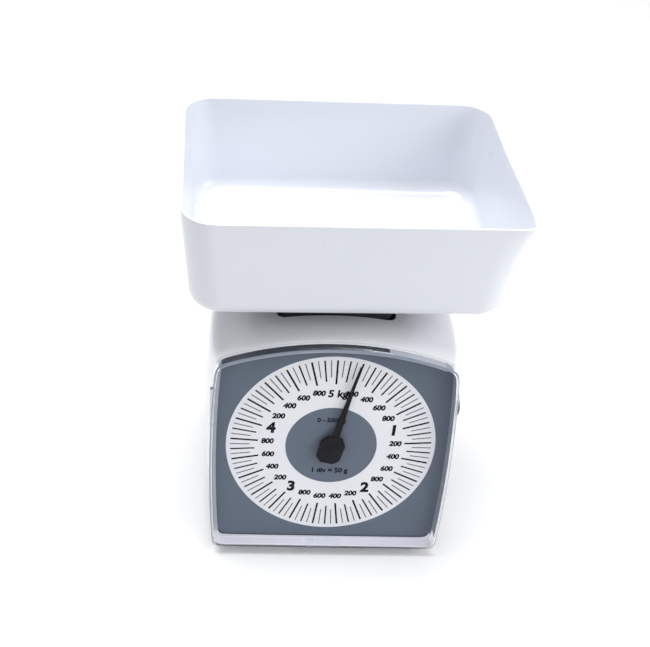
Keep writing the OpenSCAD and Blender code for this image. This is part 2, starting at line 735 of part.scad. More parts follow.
module spindle_bracket() {
  x = spindle_in;
  color("silver") difference() {
    union() {
      on_dial() translate([x, 10, inner_d - 1.5 - snug]) cube([10, 18, 1.5]);
      intersection() {
        translate([x, dial_y - 5.5, knob_z - 6]) cube([1.5, spring_y + 11.5 - dial_y, 12]);
        on_dial() translate([x - 1, 4, inner_d - 40]) cube([4, 40, 40 - snug]);
      }
    }
    translate([x - 2, spring_y, knob_z]) rotate([0, 90, 0]) cylinder(r = spindle_r + run, h = 6);
    on_dial() for (v = [14, 24]) translate([16.5, v, inner_d - 3]) cylinder(r = 1.25 + snug, h = 4);
  }
}

module overload_stop() {
  top = 45 - full_drop - 0.6;
  color("silver") translate([0, pin_y, 0]) {
    translate([0, 0, base_z + 0.3]) cylinder(r = 1.5, h = top - 2 - base_z - 0.3 + eps);
    translate([0, 0, top - 2]) cylinder(r = 3.4, h = 2);
    translate([0, 0, plate_z + 6 + snug]) cylinder(r = 3, h = 2, $fn = 6);
  }
}

module placed() {
  translate([-mid_x, -mid_y, 0]) children();
}

placed() housing();
placed() base_plate();
placed() rubber_feet();
placed() base_screws();
placed() dial_card();
placed() lens();
placed() arbor_bush();
placed() movement_bracket();
placed() movement_screws();
placed() guide_roller();
placed() roller_pin();
placed() pinion_arbor();
placed() pointer();
placed() rack();
placed() lower_lever();
placed() rack_pin();
placed() upper_lever();
placed() rear_frame();
placed() frame_screws();
placed() pivot_pins();
placed() column();
placed() column_pins();
placed() column_screws();
placed() platform();
placed() bowl();
placed() main_spring();
placed() spring_bar();
placed() zero_cam();
placed() zero_spindle();
placed() zero_knob();
placed() spindle_bush();
placed() spindle_bracket();
placed() bracket_screws();
placed() overload_stop();
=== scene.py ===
"""Looks of a mechanical kitchen scale: dial behind a clear cover, lift-off bowl, zero knob.

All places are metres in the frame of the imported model: +Z up, the dial faces -Y. The dial's centre
and lean come from the pointer's joint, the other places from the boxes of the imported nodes.
"""
import json
import logging
import math
from dataclasses import dataclass
from enum import Enum
from typing import Callable, Iterable, Optional, Sequence

import bmesh
import bpy
from mathutils import Matrix, Vector


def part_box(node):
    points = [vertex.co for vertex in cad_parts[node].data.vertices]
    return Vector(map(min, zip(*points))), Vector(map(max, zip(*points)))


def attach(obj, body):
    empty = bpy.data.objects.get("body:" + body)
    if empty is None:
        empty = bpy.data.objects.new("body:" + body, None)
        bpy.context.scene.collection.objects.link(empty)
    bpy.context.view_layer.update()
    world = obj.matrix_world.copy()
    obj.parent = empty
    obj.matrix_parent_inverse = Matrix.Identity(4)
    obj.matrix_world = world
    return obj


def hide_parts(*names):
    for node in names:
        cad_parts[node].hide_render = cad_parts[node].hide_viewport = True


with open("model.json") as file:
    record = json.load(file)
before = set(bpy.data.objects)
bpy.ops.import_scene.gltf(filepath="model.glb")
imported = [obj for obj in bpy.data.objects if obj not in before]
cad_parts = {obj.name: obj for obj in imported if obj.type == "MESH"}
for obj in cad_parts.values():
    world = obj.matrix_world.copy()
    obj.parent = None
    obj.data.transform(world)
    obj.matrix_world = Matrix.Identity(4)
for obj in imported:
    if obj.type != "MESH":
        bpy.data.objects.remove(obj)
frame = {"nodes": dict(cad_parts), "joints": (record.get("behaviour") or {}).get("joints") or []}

LOG = logging.getLogger("kitchen_scale")
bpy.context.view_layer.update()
MM = 0.001
Points = list[Vector]
Colour = tuple[float, float, float]


# ---------------------------------------------------------------- shaping helpers


class Skin:
    """A skin grown ring by ring from its first ring by extruding its open edge."""

    def __init__(self) -> None:
        """Starts an empty skin."""
        self.bm = bmesh.new()
        self.rim: list[bmesh.types.BMVert] = []

    def rim_edges(self) -> list[bmesh.types.BMEdge]:
        """Returns the edges of the ring that was laid last."""
        return [self.bm.edges.get((a, b)) for a, b in zip(self.rim, self.rim[1:] + self.rim[:1])]

    def start(self, points: Points, cap: bool = False) -> None:
        """Lays the first ring.

        Args:
            points: Places of the ring's vertices, in order.
            cap: Whether the ring is filled with a face.
        """
        self.rim = [self.bm.verts.new(p) for p in points]
        for a, b in zip(self.rim, self.rim[1:] + self.rim[:1]):
            self.bm.edges.new((a, b))
        if cap:
            self.close()

    def grow(self, points: Points) -> None:
        """Extrudes the last ring and moves the new one to its places.

        Args:
            points: As many places as the first ring has.
        """
        made = bmesh.ops.extrude_edge_only(self.bm, edges=self.rim_edges())["geom"]
        fresh = {v for v in made if isinstance(v, bmesh.types.BMVert)}
        self.rim = [
            next(e.other_vert(v) for e in v.link_edges if e.other_vert(v) in fresh) for v in self.rim
        ]
        for vert, point in zip(self.rim, points):
            vert.co = point

    def close(self) -> None:
        """Fills the last ring with a face."""
        bmesh.ops.edgeloop_fill(self.bm, edges=self.rim_edges())

    def loft(self, rings: Sequence[Points], caps: bool = True) -> bmesh.types.BMesh:
        """Grows a whole skin from a row of rings.

        Args:
            rings: The rings in order.
            caps: Whether the first and the last ring are filled.

        Returns:
            The finished skin.
        """
        self.start(rings[0], cap=caps)
        for ring in rings[1:]:
            self.grow(ring)
        if caps:
            self.close()
        return self.bm


def tidy_normals(bm: bmesh.types.BMesh) -> bmesh.types.BMesh:
    """Merges doubles, then turns every face outwards.

    Args:
        bm: The mesh to tidy.

    Returns:
        The same mesh.
    """
    bmesh.ops.remove_doubles(bm, verts=bm.verts, dist=0.001 * MM)
    bmesh.ops.recalc_face_normals(bm, faces=bm.faces)
    return bm


def add_block(
    bm: bmesh.types.BMesh,
    low: Sequence[float],
    high: Sequence[float],
    edge: float = 0.0,
    place: Optional[Matrix] = None,
    segments: int = 2,
) -> None:
    """Adds a block with rounded edges to a mesh.

    Args:
        bm: The mesh that takes the block.
        low: Its lowest corner in the block's own frame.
        high: Its highest corner.
        edge: Radius of its edges, 0 for sharp ones.
        place: Turns and moves the block into the model's frame.
        segments: Steps of the rounding.
    """
    block = bmesh.new()
    bmesh.ops.create_cube(block, size=1.0)
    size = [h - l for l, h in zip(low, high)]
    middle = Vector([(h + l) / 2 for l, h in zip(low, high)])
    bmesh.ops.scale(block, vec=size, verts=block.verts)
    bmesh.ops.translate(block, vec=middle, verts=block.verts)
    if edge > 0:
        bmesh.ops.bevel(
            block, geom=block.edges[:], offset=edge, segments=segments, profile=0.5,
            affect="EDGES", material=-1,
        )
    if place is not None:
        bmesh.ops.transform(block, matrix=place, verts=block.verts)
    join(bm, block)


def join(bm: bmesh.types.BMesh, part: bmesh.types.BMesh) -> None:
    """Moves all of one mesh into another and frees it.

    Args:
        bm: The mesh that takes the other one.
        part: The mesh that is moved and freed.
    """
    carrier = bpy.data.meshes.new("carrier")
    part.to_mesh(carrier)
    part.free()
    bm.from_mesh(carrier)
    bpy.data.meshes.remove(carrier)


def spin_profile(profile: Sequence[tuple[float, float]], place: Matrix, steps: int) -> bmesh.types.BMesh:
    """Spins an outline of (radius, height) points around the Z axis of a frame.

    Args:
        profile: Points from one end of the axis to the other.
        place: The frame that the axis stands in.
        steps: Steps of the full turn.

    Returns:
        A closed solid.
    """
    bm = bmesh.new()
    row = [bm.verts.new((r, 0.0, z)) for r, z in profile]
    edges = [bm.edges.new(pair) for pair in zip(row, row[1:])]
    bmesh.ops.spin(
        bm, geom=row + edges, cent=(0, 0, 0), axis=(0, 0, 1), angle=math.tau, steps=steps,
        use_merge=True, use_duplicate=False,
    )
    tidy_normals(bm)
    bmesh.ops.transform(bm, matrix=place, verts=bm.verts)
    return bm


def quarter(radius: float, steps: int = 5) -> list[tuple[float, float]]:
    """Points of a quarter round, from the side to the front.

    Args:
        radius: Radius of the round.
        steps: Steps along it.

    Returns:
        The points as (inward, forward) shifts.
    """
    turns = [math.pi / 2 * i / steps for i in range(steps + 1)]
    return [(radius * (1 - math.cos(a)), radius * math.sin(a)) for a in turns]


def rounded_ring(
    half_x: float, half_y: float, radius: float, centre: Vector, turn: float = 0.0,
    corner_steps: int = 12, edge_steps: int = 8,
    shape: Optional[Callable[[float, float, int, float], tuple[float, float]]] = None,
) -> Points:
    """A level ring with round corners, counter-clockwise from its front right corner.

    Args:
        half_x: Half of its width.
        half_y: Half of its depth.
        radius: Radius of its corners.
        centre: Its middle.
        turn: Turn about its middle.
        corner_steps: Steps along a corner.
        edge_steps: Steps along a straight side.
        shape: Changes a point, given its x, y, corner number or -1, and angle on the corner.

    Returns:
        The ring's points.
    """
    flat: list[tuple[float, float]] = []
    signs = [(1, -1), (1, 1), (-1, 1), (-1, -1)]
    for number, (sx, sy) in enumerate(signs):
        mid_x, mid_y = sx * (half_x - radius), sy * (half_y - radius)
        for i in range(corner_steps + 1):
            angle = math.pi / 2 * (number - 1 + i / corner_steps)
            x, y = mid_x + radius * math.cos(angle), mid_y + radius * math.sin(angle)
            if shape:
                x, y = shape(x, y, number, angle)
            flat.append((x, y))
        nx, ny = signs[(number + 1) % 4]
        out_x, out_y = radius * math.cos(angle), radius * math.sin(angle)
        a = (mid_x + out_x, mid_y + out_y)
        b = (nx * (half_x - radius) + out_x, ny * (half_y - radius) + out_y)
        for i in range(1, edge_steps):
            x, y = a[0] + (b[0] - a[0]) * i / edge_steps, a[1] + (b[1] - a[1]) * i / edge_steps
            if shape:
                x, y = shape(x, y, -1, 0.0)
            flat.append((x, y))
    place = Matrix.Translation(centre) @ Matrix.Rotation(turn, 4, "Z")
    return [place @ Vector((x, y, 0)) for x, y in flat]


def circle_ring(radius: float, height: float, place: Matrix, steps: int) -> Points:
    """A circle around the Z axis of a frame.

    Args:
        radius: Its radius.
        height: Its height on the axis.
        place: The frame that the axis stands in.
        steps: Steps of the full turn.

    Returns:
        The circle's points.
    """
    turns = [math.tau * i / steps for i in range(steps)]
    return [place @ Vector((radius * math.cos(a), radius * math.sin(a), height)) for a in turns]


def make_piece(
    name: str, bm: bmesh.types.BMesh, material: bpy.types.Material, smooth_deg: float = 32.0
) -> bpy.types.Object:
    """Turns a mesh into an object that stands at the origin.

    Args:
        name: Name of the piece.
        bm: Its mesh, which is freed.
        material: Its material.
        smooth_deg: Edges that bend less than this are shaded smooth.

    Returns:
        The new object.
    """
    mesh = bpy.data.meshes.new(name)
    bm.to_mesh(mesh)
    bm.free()
    mesh.materials.append(material)
    shade(mesh, smooth_deg)
    piece = bpy.data.objects.new(name, mesh)
    bpy.context.scene.collection.objects.link(piece)
    return piece


def shade(mesh: bpy.types.Mesh, smooth_deg: float) -> None:
    """Shades a mesh smooth, apart from its sharp edges.

    Args:
        mesh: The mesh.
        smooth_deg: Edges that bend more than this stay sharp.
    """
    mesh.polygons.foreach_set("use_smooth", [True] * len(mesh.polygons))
    mesh.set_sharp_from_angle(angle=math.radians(smooth_deg))


def settle(piece: bpy.types.Object, smooth_deg: float = 32.0) -> None:
    """Makes a piece's modifiers part of its mesh.

    Args:
        piece: The piece.
        smooth_deg: Edges that bend more than this stay sharp.
    """
    bpy.context.view_layer.update()
    done = bpy.data.meshes.new_from_object(piece.evaluated_get(bpy.context.evaluated_depsgraph_get()))
    piece.modifiers.clear()
    old = piece.data
    piece.data = done
    bpy.data.meshes.remove(old)
    done.name = piece.name
    shade(done, smooth_deg)


def carve(piece: bpy.types.Object, tool: bmesh.types.BMesh, smooth_deg: float = 32.0) -> None:
    """Cuts a shape out of a piece.

    Args:
        piece: The piece to cut.
        tool: The shape to take away, which is freed.
        smooth_deg: Edges that bend less than this are shaded smooth.
    """
    cutter = make_piece("cutter", tidy_normals(tool), piece.data.materials[0])
    cut = piece.modifiers.new("carve", "BOOLEAN")
    cut.operation = "DIFFERENCE"
    cut.solver = "EXACT"
    cut.object = cutter
    settle(piece, smooth_deg)
    mesh = cutter.data
    bpy.data.objects.remove(cutter)
    bpy.data.meshes.remove(mesh)


def hand_over(
    piece: bpy.types.Object, body: str, replaces: Iterable[str] = ()
) -> bpy.types.Object:
    """Puts a new piece on the body that carries it and hides the CAD nodes that it stands for.

    Args:
        piece: The new piece.
        body: Name of the body that carries it.
        replaces: CAD nodes that it stands for.

    Returns:
        The same piece.
    """
    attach(piece, body)
    if replaces:
        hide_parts(*replaces)
    LOG.info("%s rides on %s, %d faces", piece.name, body, len(piece.data.polygons))
    return piece


# ---------------------------------------------------------------- the dial's frame and outline


@dataclass(frozen=True)
class DialFrame:
    """The leaning frame of the dial: u across, v up the face, d out of the face."""

    centre: Vector
    normal: Vector

    @property
    def matrix(self) -> Matrix:
        """Turns and moves points from the dial's frame into the model's."""
        across = Vector((1, 0, 0))
        up = self.normal.cross(across).normalized()
        turned = Matrix((across, up, self.normal)).transposed().to_4x4()
        return Matrix.Translation(self.centre) @ turned

    def at(self, u: float, v: float, d: float) -> Vector:
        """Place of a point given across, up and out of the face."""
        return self.matrix @ Vector((u, v, d))


def read_dial_frame() -> DialFrame:
    """Reads the dial's centre and lean from the pointer's joint."""
    joint = next(j for j in frame["joints"] if j["name"] == "pointer_spin")
    return DialFrame(Vector(joint["pos_m"]), -Vector(joint["axis"]).normalized())


@dataclass(frozen=True)
class FaceOutline:
    """The face's outline: arched top, slightly barrelled sides and a straight bottom."""

    width: float
    top: float
    bottom: float
    keen: float = 40.0
    arch_share: float = 1.32
    side_share: float = 5.84
    side_drop: float = 5 * MM

    def reach(self, angle: float, inset: float = 0.0) -> tuple[float, float]:
        """Point of the outline in a direction from the dial's centre.

        Args:
            angle: Direction, counter-clockwise from the right.
            inset: How far inside the outline the point lies.

        Returns:
            Its place across and up the face.
        """
        way = Vector((math.cos(angle), math.sin(angle)))
        arch, side = self.arch_share * self.width, self.side_share * self.width
        circles = [
            (Vector((0, self.top - arch)), arch),
            (Vector((self.width / 2 - side, -self.side_drop)), side),
            (Vector((side - self.width / 2, -self.side_drop)), side),
        ]
        lengths = [
            way.dot(c) + math.sqrt(way.dot(c) ** 2 - c.length_squared + (r - inset) ** 2)
            for c, r in circles
        ]
        if way.y < -0.01:
            lengths.append((self.bottom - inset) / -way.y)
        least = min(lengths)
        length = least * sum((least / l) ** self.keen for l in lengths) ** (-1 / self.keen)
        return length * way.x, length * way.y

    def directions(self, count: int) -> list[float]:
        """Directions that lie closer together where the outline bends.

        Args:
            count: How many directions.

        Returns:
            Their angles, counter-clockwise from the right.
        """
        fine = 2400
        spots = [Vector(self.reach(math.tau * i / fine)) for i in range(fine + 1)]
        weights = [0.0]
        for i in range(fine):
            step = spots[i + 1] - spots[i]
            after = spots[(i + 2) % fine] - spots[i + 1]
            weights.append(weights[-1] + step.length + 8 * MM * step.angle(after, 0.0))
        picks, k = [], 0
        for n in range(count):
            goal = weights[-1] * n / count
            while weights[k + 1] < goal:
                k += 1
            share = (goal - weights[k]) / (weights[k + 1] - weights[k])
            picks.append(math.tau * (k + share) / fine)
        return picks


# ---------------------------------------------------------------- finishes


class Grain(Enum):
    """How the surface of a finish is worked."""

    MOULDED = "moulded"
    BRUSHED = "brushed"
    ROLLED = "rolled"
    PRINTED = "printed"


GRAIN_STRETCH = {
    Grain.MOULDED: (1.0, 1.0, 1.0),
    Grain.BRUSHED: (0.06, 1.0, 1.0),
    Grain.ROLLED: (1.0, 0.35, 0.12),
    Grain.PRINTED: (1.0, 1.0, 1.0),
}


def add_sockets(group: bpy.types.NodeTree, way: str, sockets: dict[str, str]) -> None:
    """Adds named sockets to a node group.

    Args:
        group: The node group.
        way: Whether they are inputs or outputs.
        sockets: The socket type of each name.
    """
    for name, kind in sockets.items():
        group.interface.new_socket(name=name, in_out=way, socket_type=kind)


def grain_group() -> bpy.types.NodeTree:
    """Shared effect: fine surface grain with broad, faint changes of tone.

    Returns:
        The node group, with Tone and Height outputs.
    """
    group = bpy.data.node_groups.new("surface_grain", "ShaderNodeTree")
    wanted = {"Size": "NodeSocketFloat", "Stretch": "NodeSocketVector", "Contrast": "NodeSocketFloat"}
    add_sockets(group, "INPUT", wanted)
    add_sockets(group, "OUTPUT", {"Tone": "NodeSocketFloat", "Height": "NodeSocketFloat"})
    nodes, links = group.nodes, group.links
    taken, given = nodes.new("NodeGroupInput"), nodes.new("NodeGroupOutput")
    where = nodes.new("ShaderNodeTexCoord")
    mapping = nodes.new("ShaderNodeMapping")
    fine, broad = nodes.new("ShaderNodeTexNoise"), nodes.new("ShaderNodeTexNoise")
    fine.inputs["Detail"].default_value = 5.0
    fine.inputs["Roughness"].default_value = 0.6
    broad.inputs["Scale"].default_value = 28.0
    broad.inputs["Detail"].default_value = 2.0
    blend = nodes.new("ShaderNodeMath")
    blend.operation = "ADD"
    spread = nodes.new("ShaderNodeMapRange")
    spread.inputs["From Min"].default_value = 0.6
    spread.inputs["From Max"].default_value = 1.4
    scaled = nodes.new("ShaderNodeMath")
    scaled.operation = "MULTIPLY"
    links.new(where.outputs["Object"], mapping.inputs["Vector"])
    links.new(taken.outputs["Stretch"], mapping.inputs["Scale"])
    links.new(mapping.outputs["Vector"], fine.inputs["Vector"])
    links.new(taken.outputs["Size"], fine.inputs["Scale"])
    links.new(where.outputs["Object"], broad.inputs["Vector"])
    links.new(fine.outputs["Fac"], blend.inputs[0])
    links.new(broad.outputs["Fac"], blend.inputs[1])
    links.new(blend.outputs["Value"], spread.inputs["Value"])
    links.new(spread.outputs["Result"], scaled.inputs[0])
    links.new(taken.outputs["Contrast"], scaled.inputs[1])
    links.new(scaled.outputs["Value"], given.inputs["Tone"])
    links.new(fine.outputs["Fac"], given.inputs["Height"])
    return group


def dust_group() -> bpy.types.NodeTree:
    """Shared effect: a faint mask of dust on what faces up.

    Returns:
        The node group, with a Mask output.
    """
    group = bpy.data.node_groups.new("settled_dust", "ShaderNodeTree")
    add_sockets(group, "INPUT", {"Amount": "NodeSocketFloat"})
    add_sockets(group, "OUTPUT", {"Mask": "NodeSocketFloat"})
    nodes, links = group.nodes, group.links
    taken, given = nodes.new("NodeGroupInput"), nodes.new("NodeGroupOutput")
    surface, split = nodes.new("ShaderNodeNewGeometry"), nodes.new("ShaderNodeSeparateXYZ")
    where, specks = nodes.new("ShaderNodeTexCoord"), nodes.new("ShaderNodeTexNoise")
    specks.inputs["Scale"].default_value = 340.0
    specks.inputs["Detail"].default_value = 6.0
    facing = nodes.new("ShaderNodeMapRange")
    facing.inputs["From Min"].default_value = 0.2
    facing.inputs["From Max"].default_value = 1.0
    patchy, amount = nodes.new("ShaderNodeMath"), nodes.new("ShaderNodeMath")
    patchy.operation = amount.operation = "MULTIPLY"
    links.new(surface.outputs["Normal"], split.inputs["Vector"])
    links.new(split.outputs["Z"], facing.inputs["Value"])
    links.new(where.outputs["Object"], specks.inputs["Vector"])
    links.new(facing.outputs["Result"], patchy.inputs[0])
    links.new(specks.outputs["Fac"], patchy.inputs[1])
    links.new(patchy.outputs["Value"], amount.inputs[0])
    links.new(taken.outputs["Amount"], amount.inputs[1])
    links.new(amount.outputs["Value"], given.inputs["Mask"])
    return group


GRAIN_GROUP = grain_group()
DUST_GROUP = dust_group()
DUST_COLOUR = (0.62, 0.61, 0.6, 1.0)


@dataclass(frozen=True)
class Finish:
    """An opaque finish: two close tones mixed by the grain, with a fine bump and faint dust."""

    name: str
    colour: Colour
    tone: Colour
    roughness: float
    grain: Grain = Grain.MOULDED
    size: float = 1400.0
    relief: float = 0.01 * MM
    metallic: float = 0.0
    coat: float = 0.0
    specular: float = 0.5
    dust: float = 0.02

    def material(self) -> bpy.types.Material:
        """Builds the material of this finish."""
        material = bpy.data.materials.new(self.name)
        material.use_nodes = True
        material.diffuse_color = (*self.colour, 1.0)
        nodes, links = material.node_tree.nodes, material.node_tree.links
        shader = nodes["Principled BSDF"]
        shader.inputs["Metallic"].default_value = self.metallic
        shader.inputs["Specular IOR Level"].default_value = self.specular
        shader.inputs["Coat Weight"].default_value = self.coat
        shader.inputs["Coat Roughness"].default_value = 0.12
        grain, dust = nodes.new("ShaderNodeGroup"), nodes.new("ShaderNodeGroup")
        grain.node_tree, dust.node_tree = GRAIN_GROUP, DUST_GROUP
        grain.inputs["Size"].default_value = self.size
        grain.inputs["Stretch"].default_value = GRAIN_STRETCH[self.grain]
        grain.inputs["Contrast"].default_value = 1.0
        dust.inputs["Amount"].default_value = self.dust
        tint, dusted = nodes.new("ShaderNodeMix"), nodes.new("ShaderNodeMix")
        tint.data_type = dusted.data_type = "RGBA"
        tint.inputs["A"].default_value = (*self.colour, 1.0)
        tint.inputs["B"].default_value = (*self.tone, 1.0)
        dusted.inputs["B"].default_value = DUST_COLOUR
        links.new(grain.outputs["Tone"], tint.inputs["Factor"])
        links.new(dust.outputs["Mask"], dusted.inputs["Factor"])
        links.new(tint.outputs["Result"], dusted.inputs["A"])
        links.new(dusted.outputs["Result"], shader.inputs["Base Color"])
        rough = nodes.new("ShaderNodeMapRange")
        rough.inputs["To Min"].default_value = self.roughness * 0.85
        rough.inputs["To Max"].default_value = min(self.roughness * 1.2, 1.0)
        links.new(grain.outputs["Tone"], rough.inputs["Value"])
        links.new(rough.outputs["Result"], shader.inputs["Roughness"])
        bump = nodes.new("ShaderNodeBump")
        bump.inputs["Strength"].default_value = 0.6
        bump.inputs["Distance"].default_value = self.relief
        links.new(grain.outputs["Height"], bump.inputs["Height"])
        links.new(bump.outputs["Normal"], shader.inputs["Normal"])
        return material


@dataclass(frozen=True)
class ClearFinish:
    """Clear moulded plastic that lets shadow rays through, so that the dial stays lit."""

    name: str
    colour: Colour
    roughness: float
    haze: float
    ior: float

    def material(self) -> bpy.types.Material:
        """Builds the material of this finish."""
        material = bpy.data.materials.new(self.name)
        material.use_nodes = True
        material.diffuse_color = (*self.colour, 0.3)
        nodes, links = material.node_tree.nodes, material.node_tree.links
        shader, output = nodes["Principled BSDF"], nodes["Material Output"]
        shader.inputs["Transmission Weight"].default_value = 1.0
        shader.inputs["IOR"].default_value = self.ior
        grain = nodes.new("ShaderNodeGroup")
        grain.node_tree = GRAIN_GROUP
        grain.inputs["Size"].default_value = 60.0
        grain.inputs["Stretch"].default_value = (1.0, 1.0, 1.0)
        grain.inputs["Contrast"].default_value = 1.0
        tint = nodes.new("ShaderNodeMix")
        tint.data_type = "RGBA"
        tint.inputs["A"].default_value = (*self.colour, 1.0)
        tint.inputs["B"].default_value = tuple(c * 0.985 for c in self.colour) + (1.0,)
        links.new(grain.outputs["Tone"], tint.inputs["Factor"])
        links.new(tint.outputs["Result"], shader.inputs["Base Color"])
        rough = nodes.new("ShaderNodeMapRange")
        rough.inputs["To Min"].default_value = self.roughness
        rough.inputs["To Max"].default_value = self.roughness + self.haze
        links.new(grain.outputs["Tone"], rough.inputs["Value"])
        links.new(rough.outputs["Result"], shader.inputs["Roughness"])
        rays, either = nodes.new("ShaderNodeLightPath"), nodes.new("ShaderNodeMath")
        either.operation = "MAXIMUM"
        through, mix = nodes.new("ShaderNodeBsdfTransparent"), nodes.new("ShaderNodeMixShader")
        links.new(rays.outputs["Is Shadow Ray"], either.inputs[0])
        links.new(rays.outputs["Is Diffuse Ray"], either.inputs[1])
        links.new(either.outputs["Value"], mix.inputs["Fac"])
        links.new(shader.outputs["BSDF"], mix.inputs[1])
        links.new(through.outputs["BSDF"], mix.inputs[2])
        links.new(mix.outputs["Shader"], output.inputs["Surface"])
        return material


def layer(name: str, colour: Colour, tone: Colour, roughness: float, specular: float) -> Finish:
    """A thin layer below the cover, where no dust settles: print, painted shade and painted light.

    Args:
        name: Name of the finish.
        colour: Its main tone.
        tone: The second tone that the grain mixes in.
        roughness: Its mean roughness.
        specular: Strength of its shine.

    Returns:
        The finish.
    """
    return Finish(name, colour, tone, roughness, Grain.PRINTED, specular=specular, dust=0.0)


def metal(
    name: str, colour: Colour, tone: Colour, roughness: float, size: float, grain: Grain = Grain.BRUSHED
) -> Finish:
    """A bare metal with worked grain.

    Args:
        name: Name of the finish.
        colour: Its main tone.
        tone: The second tone that the grain mixes in.
        roughness: Its mean roughness.
        size: Fineness of the grain.
        grain: How the surface is worked.

    Returns:
        The finish.
    """
    return Finish(name, colour, tone, roughness, grain, size, metallic=1.0)


COARSE, ROUGH, FINE_RELIEF = 0.05 * MM, 0.03 * MM, 0.02 * MM

FINISHES = {
    f.name: f.material()
    for f in (
        Finish("white_shell", (0.84, 0.855, 0.88), (0.82, 0.835, 0.865), 0.32, coat=0.25),
        Finish("bowl_plastic", (0.70, 0.722, 0.775), (0.685, 0.707, 0.765), 0.3, size=900.0, coat=0.4),
        Finish("base_grey", (0.45, 0.46, 0.48), (0.42, 0.43, 0.45), 0.6, size=2200.0, relief=ROUGH),
        # The platform's dark grey is partly its plastic and partly painted shade for the shadow beneath the
        # bowl.
        Finish(
            "carrier_dark_and_painted_shade", (0.075, 0.082, 0.10), (0.095, 0.10, 0.12), 0.55, size=2000.0, relief=FINE_RELIEF
        ),
        Finish("foot_rubber", (0.018, 0.018, 0.02), (0.03, 0.03, 0.032), 0.82, size=2600.0, relief=COARSE),
        Finish("knob_olive", (0.14, 0.145, 0.125), (0.12, 0.125, 0.11), 0.5, size=2400.0, relief=ROUGH),
        Finish("nylon_natural", (0.72, 0.69, 0.58), (0.68, 0.65, 0.54), 0.45, size=1800.0, coat=0.1),
        layer("slate_print", (0.118, 0.146, 0.192), (0.128, 0.156, 0.202), 0.6, 0.1),
        layer("white_print", (0.79, 0.80, 0.845), (0.77, 0.78, 0.825), 0.6, 0.1),
        layer("black_print", (0.006, 0.006, 0.008), (0.01, 0.01, 0.013), 0.7, 0.05),
        layer("grey_print", (0.10, 0.11, 0.14), (0.13, 0.14, 0.17), 0.7, 0.1),
        # Painted shade and painted light: the next five tones paint the shades and lit walls of the clear
        # cover.
        layer("painted_shade_dark", (0.05, 0.058, 0.072), (0.06, 0.07, 0.085), 0.6, 0.1),
        layer("painted_shade_black", (0.006, 0.006, 0.008), (0.01, 0.01, 0.012), 0.7, 0.05),
        layer("painted_shade_grey", (0.30, 0.335, 0.40), (0.33, 0.365, 0.43), 0.5, 0.2),
        layer("painted_light_pale", (0.74, 0.745, 0.82), (0.70, 0.705, 0.785), 0.5, 0.2),
        layer("painted_light_mid", (0.44, 0.46, 0.52), (0.48, 0.50, 0.56), 0.5, 0.2),
        # Painted reflection: the dim line along the cover's rounded front edge.
        layer("painted_edge_reflection", (0.20, 0.24, 0.30), (0.24, 0.28, 0.34), 0.3, 0.3),
        Finish("black_needle", (0.005, 0.005, 0.008), (0.008, 0.008, 0.012), 0.45, specular=0.08, dust=0.0),
        metal("turned_brass", (0.72, 0.52, 0.22), (0.62, 0.44, 0.18), 0.28, 2600.0),
        metal("zinc_sheet", (0.58, 0.60, 0.63), (0.48, 0.50, 0.54), 0.36, 1500.0, Grain.ROLLED),
        metal("bright_pin", (0.66, 0.67, 0.69), (0.58, 0.59, 0.61), 0.22, 3000.0),
        metal("oiled_spring", (0.30, 0.31, 0.33), (0.24, 0.25, 0.27), 0.3, 2400.0),
        metal("plated_screw", (0.70, 0.70, 0.71), (0.62, 0.62, 0.64), 0.18, 2800.0),
        ClearFinish("clear_cover", (1.0, 1.0, 1.0), 0.0, 0.01, 1.12),
        ClearFinish("frosted_clip", (0.93, 0.95, 1.0), 0.25, 0.1, 1.49),
    )
}


# ---------------------------------------------------------------- housing


